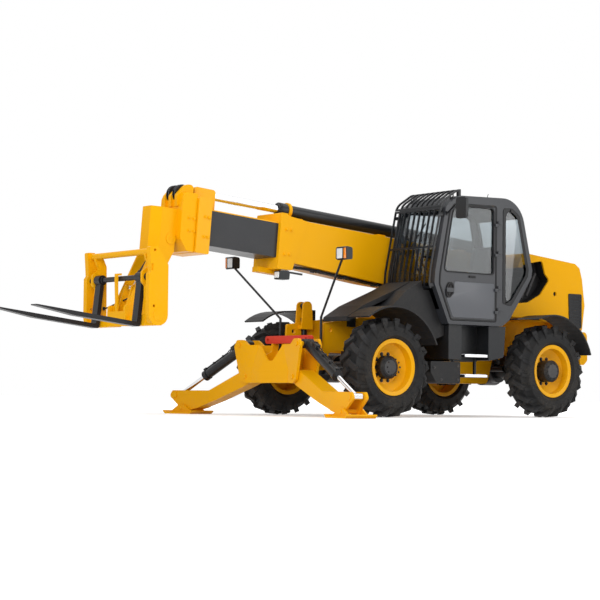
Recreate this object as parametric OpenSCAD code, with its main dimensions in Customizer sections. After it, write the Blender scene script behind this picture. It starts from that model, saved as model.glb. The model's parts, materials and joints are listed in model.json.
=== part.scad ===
// Telescopic handler with front stabilisers, fork carriage and side cab
// X points forward to the forks, Y to the cab side, Z up from the ground, sizes in millimetres

/* [Wheels] */
// Distance between the front and rear axles
wheelbase = 2750; // [2650:10:2850]
// Distance from the centre line to a wheel's middle plane
track_half = 1020; // [1000:5:1040]
// Tyre radius out to the lug tips
wheel_r = 600; // [590:1:604]
// Tyre section width
tyre_w = 400; // [380:1:410]
// Rim flange radius
rim_r = 340; // [335:1:345]
// Hub face of a front wheel, from the centre line
front_hub_face = 1130; // [1110:5:1150]
// Hub face of a rear wheel, from the centre line
rear_hub_face = 1190; // [1160:5:1200]
// Pairs of lugs round each tyre
lug_pairs = 18; // [16:1:20]
// Lug height above the tyre's carcass
lug_h = 50; // [42:1:54]
// Kingpin distance from the centre line
kingpin_y = 900; // [895:1:905]

/* [Boom] */
// Boom pivot behind the front axle
boom_pivot_back = 3100; // [3080:5:3120]
// Boom pivot height
boom_pivot_z = 1900; // [1880:5:1920]
// Boom angle as parked
boom_angle = 4.5; // [3.5:0.1:5.5]
// Half width of the outer boom
outer_half = 235; // [228:1:240]
// Half width of the second boom section
mid_half = 200; // [196:1:204]
// Half width of the third boom section
inner_half = 170; // [166:1:174]
// Half width of the nose section
nose_half = 140; // [137:1:142]
// Plate thickness of the boom sections
boom_wall = 12; // [8:1:14]
// Front face of the outer boom from its pivot
outer_front = 4120; // [4100:5:4140]
// Rear face of the second section's front collar from the pivot
mid_collar = 5150; // [5100:5:5160]
// Extension ram rod radius
ext_rod_r = 50; // [46:1:54]

/* [Carriage and forks] */
// Carriage pivot in front of the front axle
carriage_x = 3040; // [3030:5:3050]
// Carriage pivot height
carriage_z = 1120; // [1110:5:1130]
// Half width over the carriage's outer plates
carriage_half = 690; // [670:5:720]
// Fork distance from the centre line
fork_y = 430; // [425:1:435]
// Fork blade length
fork_len = 1290; // [1100:10:1400]
// Fork blade width
fork_w = 110; // [90:1:114]
// Fork blade thickness at the heel
fork_t = 50; // [40:1:55]
// Upward tilt of the forks as parked
fork_angle = 6.6; // [5:0.1:8]

/* [Stabilisers] */
// Stabiliser frame in front of the front axle
stab_x = 830; // [825:1:840]
// Lower leg pin from the centre line
stab_pin_y = 500; // [495:1:505]
// Lower leg pin height
stab_pin_z = 478; // [474:1:482]
// Forward splay of the legs
stab_splay = 10; // [9:0.5:11]
// Foot pin from the centre line
foot_y = 1610; // [1600:5:1620]
// Foot pin height
foot_z = 75; // [74:1:80]
// Foot pad length along the leg
pad_l = 500; // [440:10:520]
// Foot pad width
pad_w = 400; // [360:10:420]

/* [Cab] */
// Inner wall of the cab from the centre line
cab_in = 300; // [290:5:320]
// Outer wall of the cab from the centre line
cab_out = 1170; // [1150:5:1180]
// Cab wall thickness
cab_wall = 40; // [35:1:45]
// Number of windscreen guard bars
guard_bars = 10; // [8:1:12]

/* [Hidden] */
$fn = 48;

// Paint colours
yellow = "#f2ad0c";
black = "#26282a";
steel = "#c8ccd0";
rubber = "#1d1e20";
glass = "#8fa3ad88";
red = "#c8321e";

// Clearances
run_gap = 0.05;
seat_gap = 0.3;
move_gap = 6;

// Places along the machine, from the front axle
rear_axle_x = -wheelbase;
axle_z = wheel_r;
pivot_x = -boom_pivot_back;
tail_x = -3790;
fork_heel_x = carriage_x + 160;
fork_heel_z = carriage_z - 120;
fork_tip_x = fork_heel_x + fork_len * cos(fork_angle);
origin_x = -(fork_tip_x + tail_x) / 2;

// Chassis plates
rail_y0 = 340;
rail_y1 = 380;
rail_top = 1000;
rail_low = 430;
arch_low = 800;
front_plate_x = 600;
front_top = 760;

// Lift ram, base pin in the chassis and rod pin under the boom
lift_base_x = -3200;
lift_base_z = 800;
lift_pin_s = 1300;
lift_pin_t = -580;
lift_barrel_r = 85;
lift_rod_r = 50;
lift_pin_r = 45;

// Tilt ram, base pin in the nose in boom measures and rod pin on the carriage
tilt_base_s = 5620;
tilt_base_t = -300;
tilt_pin_dx = -100;
tilt_pin_dz = 330;
tilt_barrel_r = 52;
tilt_rod_r = 28;
tilt_pin_r = 28;

// Stabiliser ram pins in the leg's own plane, from the lower leg pin
leg_run = (foot_y - stab_pin_y) / cos(stab_splay);
leg_drop = foot_z - stab_pin_z;
ram_top_u = 98;
ram_top_z = 390;
ram_eye_out = 142;
ram_eye_up = 169;
leg_barrel_r = 60;
leg_rod_r = 28;
leg_pin_r = 28;
leg_half = 105;
fork_half_in = 75;

// Turns a point by an angle
function turn(p, a) = [p[0] * cos(a) - p[1] * sin(a), p[0] * sin(a) + p[1] * cos(a)];
// Point of the boom's own plane in the machine's plane
function boom_point(s, t) = [pivot_x, boom_pivot_z] + turn([s, t], boom_angle);
function angle_to(p, q) = atan2(q[1] - p[1], q[0] - p[0]);

// Length and angle of each ram as parked
lift_base = [lift_base_x, lift_base_z];
lift_pin = boom_point(lift_pin_s, lift_pin_t);
lift_len = norm(lift_pin - lift_base);
lift_angle = angle_to(lift_base, lift_pin);
tilt_base = boom_point(tilt_base_s, tilt_base_t);
carriage_pin = [carriage_x, carriage_z];
tilt_pin = carriage_pin + [tilt_pin_dx, tilt_pin_dz];
tilt_len = norm(tilt_pin - tilt_base);
tilt_angle = angle_to(tilt_base, tilt_pin);
ram_top = [ram_top_u, ram_top_z];
ram_eye = [leg_run + ram_eye_out, leg_drop + ram_eye_up];
ram_len = norm(ram_eye - ram_top);
ram_angle = angle_to(ram_top, ram_eye);

// Carriage pivot in the boom's own plane
nose_end = turn(carriage_pin - [pivot_x, boom_pivot_z], -boom_angle);

// Outline with rounded corners, each point given as x, z and corner radius
function unit(v) = v / norm(v);
function xy(p) = [p[0], p[1]];
function arc_pts(a, b, c, r, n = 5) =
    r <= 0 ? [b] :
    let (
        u = unit(a - b),
        v = unit(c - b),
        half = acos(min(1, max(-1, u * v))) / 2,
        d = r / tan(half),
        m = b + unit(u + v) * r / sin(half),
        s = b + u * d - m,
        e = b + v * d - m,
        a0 = atan2(s[1], s[0]),
        sweep = let (w = atan2(e[1], e[0]) - a0) w > 180 ? w - 360 : w < -180 ? w + 360 : w
    )
    [for (k = [0:n]) m + r * [cos(a0 + sweep * k / n), sin(a0 + sweep * k / n)]];
function rounded(pts) =
    let (n = len(pts))
    [for (i = [0:n - 1])
        each arc_pts(xy(pts[(i + n - 1) % n]), xy(pts[i]), xy(pts[(i + 1) % n]), pts[i][2])];
// The same outline moved inwards by d, for points that run anticlockwise
function inset(pts, d) =
    let (n = len(pts))
    [for (i = [0:n - 1])
        let (
            b = xy(pts[i]),
            e1 = unit(b - xy(pts[(i + n - 1) % n])),
            e2 = unit(xy(pts[(i + 1) % n]) - b),
            n1 = [-e1[1], e1[0]],
            n2 = [-e2[1], e2[0]],
            q = b + d * (n1 + n2) / (1 + n1 * n2)
        )
        [q[0], q[1], max(2, pts[i][2] - d)]];

// Helpers that place and sweep
module place() translate([origin_x, 0, 0]) children();
module both_sides() {
    children();
    mirror([0, 1, 0]) children();
}
module along_y(y0, y1) translate([0, y1, 0]) rotate([90, 0, 0]) linear_extrude(y1 - y0) children();
module along_x(x0, x1) translate([x0, 0, 0]) rotate([90, 0, 90]) linear_extrude(x1 - x0) children();
module box(x0, x1, y0, y1, z0, z1) translate([x0, y0, z0]) cube([x1 - x0, y1 - y0, z1 - z0]);
module pin_y(r, y0, y1, x = 0, z = 0) translate([x, y0, z]) rotate([-90, 0, 0]) cylinder(r = r, h = y1 - y0);
module pin_x(r, x0, x1, y = 0, z = 0) translate([x0, y, z]) rotate([0, 90, 0]) cylinder(r = r, h = x1 - x0);
module pin_z(r, z0, z1, x = 0, y = 0) translate([x, y, z0]) cylinder(r = r, h = z1 - z0);
// The boom's own frame, X along the boom and Z across it
module on_boom() place() translate([pivot_x, 0, boom_pivot_z]) rotate([0, -boom_angle, 0]) children();
// A stabiliser's own frame, X out along the leg and Z up from the lower pin
module on_stab(side) {
    place() mirror([0, side < 0 ? 1 : 0, 0])
        translate([stab_x, stab_pin_y, stab_pin_z]) rotate([0, 0, 90 - stab_splay]) children();
}
// A straight tube from one point to the next
module tube_between(a, b, r) {
    d = b - a;
    translate(a) rotate([0, acos(d[2] / norm(d)), atan2(d[1], d[0])]) cylinder(r = r, h = norm(d));
}

// Ram barrel along X with an eye on its base pin and a gland that guides the rod
module ram_barrel(r, rod_r, pin_r, length, eye_half) {
    bore_start = r + 12;
    difference() {
        union() {
            pin_x(r, pin_r, length);
            pin_x(r + 8, length - 60, length);
            pin_y(r * 0.95, -eye_half, eye_half);
        }
        pin_y(pin_r + run_gap, -2 * r, 2 * r);
        pin_x(rod_r + 8, bore_start, length - 50);
        pin_x(rod_r + run_gap, length - 51, length + 1);
    }
}
// Ram rod along X, its eye at the far end with its pin in place
module ram_rod(rod_r, eye_r, start, length, eye_half, pin_r, pin_half) {
    pin_x(rod_r, start, length - eye_r * 0.6);
    pin_y(eye_r, -eye_half, eye_half, length);
    pin_y(pin_r, -pin_half, pin_half, length);
}

// Wheels
module on_wheel(side, x) {
    place() translate([x, side * track_half, axle_z]) rotate([side > 0 ? -90 : 90, 0, 0]) children();
}
bead_r = rim_r - 34;
rim_half = 168;
// One slanted lug, thickest at the tyre's crown
lug_t = 62;
lug_slant = 34;
lug_lead = 7;
module lug() {
    reach = (tyre_w / 2 - 20) / cos(lug_slant);
    rotate([-lug_slant, 0, 0]) rotate([-90, -90, 0]) linear_extrude(lug_t, center = true) polygon([
        [4, wheel_r - lug_h - 20], [4, wheel_r - 2],
        [reach * 0.75, wheel_r - 14], [reach, wheel_r - lug_h - 70]]);
}
// Hollow carcass with two staggered rows of lugs
module tyre(side, x) {
    h = tyre_w / 2;
    crown = wheel_r - lug_h;
    color(rubber) on_wheel(side, x) {
        rotate_extrude($fn = lug_pairs) polygon([
            [bead_r + seat_gap, -rim_half + 23], [rim_r + 2, -rim_half + 11], [rim_r + 40, -h + 3],
            [crown - 70, -h + 6], [crown, -h + 80], [crown, h - 80], [crown - 70, h - 6], [rim_r + 40, h - 3],
            [rim_r + 2, rim_half - 11], [bead_r + seat_gap, rim_half - 23], [bead_r + seat_gap, rim_half - 45],
            [crown - 60, h - 50], [crown - 60, -h + 50], [bead_r + seat_gap, -rim_half + 45]]);
        for (k = [0:lug_pairs - 1])
            for (row = [0, 1])
                rotate([0, 0, 360 / lug_pairs * (k + row / 2)])
                    mirror([0, 0, row]) rotate([0, 0, -lug_lead]) lug();
    }
}
hub_r = 140;
hub_back = 72;
spindle_r = 60;
module rim(side, x, hub_face) {
    lip = rim_half - 10;
    face = hub_face - track_half;
    back = kingpin_y + hub_back + 3 - track_half;
    color(yellow) on_wheel(side, x) difference() {
        rotate_extrude() polygon([
            [bead_r - 14, -lip], [rim_r - 8, -rim_half], [rim_r, -rim_half], [rim_r, -lip], [bead_r, -lip + 12],
            [bead_r, lip - 12], [rim_r, lip], [rim_r, rim_half], [rim_r - 8, rim_half], [bead_r - 14, lip],
            [bead_r - 16, 60], [hub_r + 60, 5], [hub_r, 0], [hub_r, face - 25], [hub_r - 30, face], [0, face],
            [0, back], [hub_r - 20, back], [hub_r - 20, -14], [hub_r + 60, -10], [bead_r - 16, 40]]);
        translate([0, 0, back - 1]) cylinder(r = spindle_r + run_gap, h = 91);
    }
}

// Steering knuckle with its kingpins and wheel spindle
kingpin_r = 35;
yoke_in = 128;
yoke_out = 178;
module knuckle(side, x) {
    spindle_end = kingpin_y + hub_back + 80;
    color(black) place() translate([x, 0, axle_z]) mirror([0, side < 0 ? 1 : 0, 0]) {
        pin_z(75, -yoke_in + 2, yoke_in - 2, 0, kingpin_y);
        pin_z(kingpin_r, -yoke_out - 12, yoke_out + 12, 0, kingpin_y);
        pin_y(100, kingpin_y, kingpin_y + hub_back - 5);
        pin_y(spindle_r, kingpin_y, spindle_end);
    }
}
module axle(x) {
    color(black) place() translate([x, 0, axle_z]) difference() {
        union() {
            pin_y(95, -760, 760);
            pin_y(150, -210, 210);
            pin_x(185, -120, 120);
            pin_x(90, 100, 260);
            both_sides() {
                box(-90, 90, 310, 410, 60, arch_low - axle_z);
                box(-75, 75, 700, 760, -yoke_out, yoke_out);
                for (z = [-yoke_out, yoke_in]) {
                    box(-65, 65, 740, kingpin_y, z, z + yoke_out - yoke_in);
                    pin_z(65, z, z + yoke_out - yoke_in, 0, kingpin_y);
                }
                pin_y(40, 120, 480, 175, 30);
            }
        }
        both_sides() pin_z(kingpin_r + run_gap, -yoke_out - 1, yoke_out + 1, 0, kingpin_y);
    }
}
module front_axle() axle(0);
module rear_axle() axle(rear_axle_x);

// Chassis with the boom tower at its back
rail_outline = [
    [-3640, 760, 20], [-3060, 760, 30], [-2990, arch_low, 30], [-2470, arch_low, 40], [-2360, rail_low, 60],
    [-440, rail_low, 60], [-330, arch_low, 40], [330, arch_low, 40], [400, 560, 40], [front_plate_x, 560, 0],
    [front_plate_x, front_top, 0], [445, front_top, 20], [420, 1136, 20], [-150, 1217, 40], [-620, 1217, 60],
    [-760, rail_top, 60], [-2380, rail_top, 120], [-2640, 1500, 200], [-2760, 2090, 150],
    [-3390, 2070, 150], [-3560, 1500, 150], [-3640, 1150, 60]];
boom_pin_r = 50;
tray_low = 560;
bulkhead_y = 440;
bulkhead_top = 1560;
lid_x0 = -2040;
lid_x1 = -780;
lid_nose_z = 1250;
lid_break_x = -1350;
lid_hinges = [lid_x0 + 160, lid_break_x - 70];
lid_pin_y = -430;
lid_pin_z = bulkhead_top + 35;
module main_frame() {
    color(yellow) place() {
        both_sides() along_y(rail_y0, rail_y1) difference() {
            polygon(rounded(rail_outline));
            translate([320, 1052]) circle(r = 30);
        }
        pin_y(boom_pin_r, -rail_y1 - 20, rail_y1 + 20, pivot_x, boom_pivot_z);
        pin_y(lift_pin_r, -rail_y1 - 10, rail_y1 + 10, lift_base_x, lift_base_z);
        box(-2300, -480, -rail_y1, rail_y1, rail_low, rail_low + 40);
        box(front_plate_x - 60, front_plate_x, -rail_y1, rail_y1, 560, front_top);
        box(-3640, -3580, -rail_y1, rail_y1, 800, 1150);
        tail_beam();
        sway_clevis();
        cover_feet();
    }
}
// Heavy cross beam at the tail
module tail_beam() {
    along_y(-880, 880) polygon(rounded([
        [-3600, 700, 40], [-3600, 1140, 0], [-3740, 1140, 60], [-3750, 760, 60], [-3680, 700, 40]]));
}
// Side view of the engine cover, its top falling to the front
module lid_side(low, front, wall) {
    polygon([
        [lid_x0, low], [front, low], [front, lid_nose_z - wall], [lid_break_x, bulkhead_top - wall],
        [lid_x0, bulkhead_top - wall]]);
}
// Tray and bulkhead that carry the engine on the side away from the cab
module engine_bay() {
    in_y = -rail_y1 - seat_gap;
    color(yellow) place() {
        box(-2040, -850, -1120, in_y, tray_low, tray_low + 40);
        box(-2040, -850, -1120, -1090, tray_low, 960);
        along_y(-bulkhead_y, -bulkhead_y + 20) lid_side(tray_low, lid_x1, 0);
        box(lid_x0 + 60, lid_x1 - 60, -bulkhead_y, in_y, 900, 960);
        for (x = lid_hinges) {
            box(x - 40, x, -bulkhead_y, -bulkhead_y + 20, bulkhead_top - 10, lid_pin_z);
            pin_x(14, x - 40, x, lid_pin_y, lid_pin_z);
            pin_x(10, x - 1, x + 50, lid_pin_y, lid_pin_z);
        }
    }
}
// Upright twin plates for the ram that levels the front axle
module sway_clevis() {
    for (y = [-402, -280])
        along_y(y, y + 22) polygon(rounded([
            [75, 1080, 10], [255, 1080, 10], [230, 1430, 60], [100, 1430, 60]]));
    box(85, 245, -402, -258, 1080, 1130);
    pin_y(20, -402, -258, 165, 1375);
}
fender_y0 = 840;
fender_y1 = 1225;
front_fender_in = 718;
rear_fender_in = 712;
fender_t = 20;
module fender_brackets() {
    z = axle_z + front_fender_in;
    rear_z = axle_z + rear_fender_in;
    both_sides() {
        box(-60, 60, rail_y1 + seat_gap, fender_y0 - seat_gap, z - 4, z + fender_t - 6);
        box(-60, 60, rail_y1 + seat_gap, rail_y1 + 30, 1100, z + 4);
        box(rear_axle_x - 50, rear_axle_x + 50, 800 + seat_gap, 830, cover_low - 25, cover_low - 1);
        box(rear_axle_x - 50, rear_axle_x + 50, 828.5, 900, cover_low - 25, rear_z - 3.4);
    }
}
// Short ledges under the rear covers
module cover_feet() {
    both_sides() box(-3400, -2700, rail_y0 + 5, 800, cover_low - 30, cover_low);
}

// Engine, one plain block in the side bay
module engine_block() color("#3a3d40") place() box(-1980, -1080, -1040, -470, tray_low + 40.3, 1330);

// Engine cover, hinged on the bulkhead
module engine_cover() {
    color(yellow) place() difference() {
        union() {
            difference() {
                intersection() {
                    along_x(lid_x0, lid_x1) polygon(rounded([
                        [-1170, 975, 20], [-bulkhead_y - 2, 975, 0], [-bulkhead_y - 2, bulkhead_top, 0],
                        [-1080, 1500, 140], [-1160, 1250, 100]]));
                    along_y(-1200, -bulkhead_y) lid_side(900, lid_x1, 0);
                }
                intersection() {
                    along_x(lid_x0 + 25, lid_x1 - 25) polygon(rounded([
                        [-1145, 900, 5], [-400, 900, 0], [-400, bulkhead_top - 22, 0],
                        [-1062, 1478, 120], [-1136, 1250, 90]]));
                    along_y(-1200, -390) lid_side(890, lid_x1 + 1, 26);
                }
                for (k = [0:8])
                    box(lid_x0 + 150 + 70 * k, lid_x0 + 182 + 70 * k, -1200, -1100, 1030, 1180);
            }
            for (x = lid_hinges) {
                pin_x(20, x + 1, x + 45, lid_pin_y, lid_pin_z);
                box(x + 1, x + 45, lid_pin_y - 60, lid_pin_y, lid_pin_z - 10, lid_pin_z + 10);
                box(x + 1, x + 45, lid_pin_y - 60, lid_pin_y - 30, bulkhead_top - 20, lid_pin_z + 10);
            }
        }
        for (x = lid_hinges)
            pin_x(10 + run_gap, x - 5, x + 60, lid_pin_y, lid_pin_z);
    }
}

// Covers beside the boom tower
cover_low = 1300;
cover_y1 = 826;
cover_outline = [
    [-2330, cover_low, 40], [-2440, 1880, 80], [-2560, 2150, 110], [-3560, 2056, 60], [-3650, 2000, 40],
    [-3700, 1850, 60], [-3752, 1500, 60], [-3700, 1160, 20], [-3480, 1160, 60], [-3440, cover_low, 20]];
module rear_cover() {
    color(yellow) place() difference() {
        along_y(rail_y1 + 2, cover_y1) polygon(rounded(cover_outline));
        along_y(rail_y1 - 1, cover_y1 - 22) polygon(rounded(inset(cover_outline, 22)));
        along_y(cover_y1 - 30, cover_y1 + 1) cover_window();
    }
}
// Curved opening in the side of a cover
module cover_window() {
    polygon(rounded([
        [-2450, 1480, 30], [-2663, 1500, 60], [-2893, 1610, 60], [-3067, 1815, 40], [-2985, 1885, 30],
        [-2925, 2060, 40], [-2760, 2030, 60], [-2560, 1990, 40]]));
    translate([-3170, 1633]) circle(r = 30);
}
module rear_covers() both_sides() rear_cover();
module rear_grille() {
    color(black) place() both_sides() along_y(cover_y1, cover_y1 + 10) difference() {
        polygon(rounded([
            [-3684, 1190, 20], [-3510, 1190, 20], [-3440, 1320, 20], [-3427, 1650, 20], [-3684, 1650, 20]]));
        for (k = [0:8])
            translate([-3660, 1222 + 46 * k]) square([k < 2 ? 140 : 190, 20]);
    }
}

// Cab, outline seen from its door side
cab_outline = [
    [-910, 1150, 30], [-669, 1640, 60], [-684, 1800, 60], [-860, 2610, 120], [-1080, 2750, 80],
    [-1960, 2780, 380], [-2190, 2640, 370], [-2380, 1890, 60], [-2365, 1790, 60], [-1970, 1235, 80],
    [-1840, 1150, 30]];
door_outline = [
    [-1740, 1195, 30], [-940, 1195, 40], [-739, 1640, 60], [-752, 1790, 60], [-912, 2560, 60],
    [-1000, 2650, 60], [-1740, 2670, 40]];
door_window = [
    [-1680, 1800, 40], [-830, 1800, 50], [-975, 2545, 60], [-1035, 2612, 40], [-1680, 2630, 50]];
quarter_window = [
    [-1850, 1440, 30], [-1850, 2650, 50], [-2010, 2655, 100], [-2135, 2570, 60], [-2305, 1890, 60],
    [-2290, 1800, 60], [-1990, 1410, 60]];
inner_window = [
    [-900, 1850, 60], [-1010, 2560, 60], [-2080, 2600, 80], [-2230, 1900, 60], [-1400, 1780, 60]];
wind_low = 1330;
wind_high = 2560;
post_w = 70;
module windscreen_cut() box(-960, -500, cab_in + post_w, cab_out - post_w, wind_low, wind_high);
module rear_cut() box(-2600, -2140, cab_in + post_w, cab_out - post_w, 1930, 2540);
module roof_cut() box(-1800, -1150, cab_in + post_w, cab_out - post_w, 2600, 2900);
hinge_x = -1752;
hinge_y = cab_out + 16;
hinge_pin_r = 7;
hinge_z = [1340, 1620, 2060, 2440];
module cab_shell() {
    color(black) place() difference() {
        along_y(cab_in + cab_wall + seat_gap, cab_out - cab_wall - seat_gap) difference() {
            polygon(rounded(cab_outline));
            polygon(rounded(inset(cab_outline, cab_wall)));
        }
        windscreen_cut();
        rear_cut();
        roof_cut();
    }
}
// Side plates of the cab, the outer one with the door's opening and hinges
module cab_sides() {
    color(black) place() {
        along_y(cab_in, cab_in + cab_wall) difference() {
            polygon(rounded(cab_outline));
            polygon(rounded(inner_window));
        }
        along_y(cab_out - cab_wall, cab_out) difference() {
            polygon(rounded(cab_outline));
            polygon(rounded(quarter_window));
            polygon(rounded(door_outline));
        }
        for (z = hinge_z) {
            box(hinge_x - 60, hinge_x, cab_out - 4, hinge_y + 10, z, z + 36);
            pin_z(13, z, z + 36, hinge_x, hinge_y);
            pin_z(hinge_pin_r, z - 36, z + 1, hinge_x, hinge_y);
        }
    }
}
// Ring of glass that follows the cab's outline
module cab_ring(d0, d1) {
    along_y(cab_in + post_w, cab_out - post_w) difference() {
        polygon(rounded(inset(cab_outline, d0)));
        polygon(rounded(inset(cab_outline, d1)));
    }
}
module cab_glass() {
    color(glass) place() {
        for (i = [0:2])
            intersection() {
                cab_ring(14, 22);
                if (i == 0) windscreen_cut();
                if (i == 1) rear_cut();
                if (i == 2) roof_cut();
            }
        along_y(cab_in + 14, cab_in + 22) polygon(rounded(inner_window));
        along_y(cab_out - 22, cab_out - 14) polygon(rounded(quarter_window));
    }
}
// Door on the cab's side, hinged at its back edge
module door_frame() {
    color(black) place() difference() {
        union() {
            along_y(cab_out - cab_wall, cab_out) difference() {
                polygon(rounded(inset(door_outline, move_gap)));
                polygon(rounded(door_window));
            }
            for (z = hinge_z) {
                box(hinge_x, hinge_x + 62, cab_out + 5, hinge_y + 10, z - 36, z - 1);
                box(hinge_x + 22, hinge_x + 62, cab_out - 2, hinge_y, z - 36, z - 1);
                pin_z(13, z - 36, z - 1, hinge_x, hinge_y);
            }
            along_y(cab_out - 1, cab_out + 22) polygon(rounded([
                [-980, 1545, 12], [-860, 1545, 12], [-860, 1595, 12], [-980, 1595, 12]]));
        }
        for (z = hinge_z)
            pin_z(hinge_pin_r + run_gap, z - 40, z + 4, hinge_x, hinge_y);
    }
}
module door_glass() {
    color(glass) place() along_y(cab_out - 24, cab_out - 16) polygon(rounded(door_window));
}

// Guard of upright bars in front of the windscreen and over the front of the roof
guard_in = -55;
guard_out = -80;
guard_split = 2590;
guard_back = -1120;
module guard_strip(y0, y1) {
    along_y(y0, y1) difference() {
        polygon(rounded(inset(cab_outline, guard_out)));
        polygon(rounded(inset(cab_outline, guard_in)));
    }
}
module windscreen_guard() {
    y0 = cab_in + 15;
    y1 = cab_out - 15;
    step = (y1 - y0 - 14) / (guard_bars - 1);
    color(black) place() {
        intersection() {
            union() {
                for (i = [0:guard_bars - 1])
                    guard_strip(y0 + i * step, y0 + i * step + 14);
                intersection() {
                    guard_strip(y0, y1);
                    union() {
                        for (z = [1580, 2080, 2560, guard_split + 2])
                            box(-1000, -400, y0, y1, z, z + 26);
                        box(guard_back, guard_back + 26, y0, y1, guard_split, 3000);
                    }
                }
            }
            union() {
                box(-1000, -400, y0, y1, 1580, guard_split - 2);
                box(guard_back, -400, y0, y1, guard_split + 2, 3000);
            }
        }
        intersection() {
            for (y = [y0, y1 - 40]) {
                for (z = [1600, 2480])
                    box(-1000, -500, y, y + 40, z, z + 40);
                box(guard_back, guard_back + 40, y, y + 40, guard_split, 3000);
            }
            along_y(y0, y1) difference() {
                polygon(rounded(inset(cab_outline, guard_in - 2)));
                polygon(rounded(cab_outline));
            }
        }
    }
}

// Driver's seat and controls
seat_x = -1660;
seat_y = (cab_in + cab_out) / 2;
floor_z = 1150 + cab_wall;
module seat_base() {
    color(black) place() {
        box(seat_x - 140, seat_x + 180, seat_y - 180, seat_y + 180, floor_z + seat_gap, floor_z + 330);
        along_y(seat_y - 200, seat_y + 200) polygon(rounded([
            [seat_x - 250, floor_z + 320, 20], [seat_x - 200, floor_z + 320, 10],
            [seat_x - 330, floor_z + 960, 20], [seat_x - 390, floor_z + 960, 20]]));
        box(seat_x - 240, seat_x + 240, seat_y - 220, seat_y + 220, floor_z + 315, floor_z + 345);
    }
}
module seat_cushion() {
    color("#303338") place() {
        along_y(seat_y - 230, seat_y + 230) polygon(rounded([
            [seat_x - 170, floor_z + 345.3, 20], [seat_x + 270, floor_z + 345.3, 40],
            [seat_x + 280, floor_z + 470, 50], [seat_x - 170, floor_z + 450, 20]]));
        along_y(seat_y - 215, seat_y + 215) polygon(rounded([
            [seat_x - 230, floor_z + 470, 20], [seat_x - 115, floor_z + 480, 40],
            [seat_x - 230, floor_z + 1020, 40], [seat_x - 341.5, floor_z + 1020, 20]]));
    }
}
module steering_console() {
    color(black) place() {
        along_y(seat_y - 150, seat_y + 150) polygon(rounded([
            [-960, floor_z, 0], [-880, floor_z + 150, 20], [-790, floor_z + 420, 40], [-830, floor_z + 560, 40],
            [-960, floor_z + 600, 40], [-1030, floor_z + 300, 60], [-1060, floor_z, 0]]));
        translate([-960, seat_y, floor_z + 560]) rotate([0, -35, 0]) {
            cylinder(r = 28, h = 190);
            translate([0, 0, 180]) {
                rotate_extrude() translate([180, 0]) circle(r = 15);
                for (a = [0, 120, 240])
                    rotate([0, 0, a]) pin_x(10, 0, 180);
                cylinder(r = 45, h = 20, center = true);
            }
        }
    }
}

// Dark shroud between the front fender and the cab
module front_shroud() {
    y0 = rail_y1 + seat_gap;
    color(black) place() difference() {
        union() {
            difference() {
                along_y(y0, 1040) polygon(rounded([
                    [-60, 1310, 20], [-330, 1540, 60], [-620, 1690, 40], [-722, 1640, 0], [-960, 1140, 0],
                    [-960, 1010, 20], [-600, 900, 20]]));
                pin_y(front_fender_in + fender_t + 8, rail_y1 - 5, 1050, 0, axle_z);
            }
            along_y(y0, fender_y0 - 6) polygon(rounded([
                [400, 1150, 10], [450, 1150, 10], [430, 1205, 20], [190, 1345, 60], [-330, 1556, 60],
                [-600, 1682, 20],
                [-600, 1560, 20], [-330, 1490, 60], [165, 1295, 60]]));
        }
        along_y(rail_y1 - 5, 1050) polygon(rounded(inset(cab_outline, -8)));
        intersection() {
            along_y(rail_y1 - 5, 1050) polygon(rounded(inset(cab_outline, guard_out - 8)));
            box(-1000, -400, 300, 1200, 1565, 1800);
        }
    }
}

// Fenders over the four wheels, the rear ones running out flat towards the front
function arc(r, a0, a1, n = 14) = [for (k = [0:n]) let (a = a0 + (a1 - a0) * k / n) r * [cos(a), sin(a)]];
module fenders() {
    color(black) place() {
        both_sides() {
            translate([0, 0, axle_z]) along_y(fender_y0, fender_y1) polygon(concat(
                arc(front_fender_in + fender_t, 157, 54), arc(front_fender_in, 54, 157)));
            translate([rear_axle_x, 0, axle_z]) along_y(fender_y0, fender_y1) polygon(concat(
                arc(rear_fender_in + fender_t, 162, 70), [[690, 640 + fender_t], [690, 640]],
                arc(rear_fender_in, 70, 162)));
        }
        fender_brackets();
    }
}

// Boxes and steps under the cab
module step_box() {
    color(black) place() {
        box(-1190, -970, rail_y1, 1110, 720, 1150);
        along_y(rail_y1, 1110) polygon(rounded([
            [-1960, 1150, 0], [-1930, 760, 40], [-1660, 710, 20], [-1660, 1150, 0]]));
        box(-1661, -1189, rail_y1, 900, 700, 1150);
        for (z = [780, 530])
            box(-1640, -1230, 880, 1120, z - 30, z);
        for (x = [-1640, -1260])
            box(x, x + 30, 880, 910, 500, 800);
    }
}
module belly_cover() {
    color(black) place() along_y(rail_y1, 1080) polygon(rounded([
        [-1200, 420, 30], [-800, 420, 60], [-700, 560, 30], [-700, 690, 20], [-1200, 690, 20]]));
}

// Stabiliser frame across the front of the chassis
module stab_cheeks() {
    for (v = [-150, 115])
        along_y(v, v + 35) polygon(rounded([
            [-210, -70, 20], [0, -85, 60], [80, -40, 50], [185, 370, 60], [140, 450, 40], [30, 450, 60],
            [-60, 385, 40], [-210, 385, 20]]));
    pin_y(leg_pin_r, -165, 165, 0, 0);
    pin_y(leg_pin_r, -165, 165, ram_top_u, ram_top_z);
}
bar_low = 885;
module stabiliser_frame() {
    panel_x = stab_x + 105;
    color(yellow) {
        on_stab(1) stab_cheeks();
        on_stab(-1) stab_cheeks();
        place() {
            box(stab_x - 150, stab_x + 130, -330, 330, 400, 545);
            box(front_plate_x, front_plate_x + 30, -420, 420, 430, front_top + 40);
            for (y = [-300, 270])
                along_y(y, y + 30) polygon(rounded([
                    [front_plate_x + 20, 430, 0], [stab_x + 100, 430, 0], [stab_x + 100, 700, 60],
                    [front_plate_x + 110, 780, 40], [front_plate_x + 100, bar_low, 0],
                    [front_plate_x + 20, bar_low, 0]]));
            front_panel(panel_x);
        }
    }
}
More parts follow.
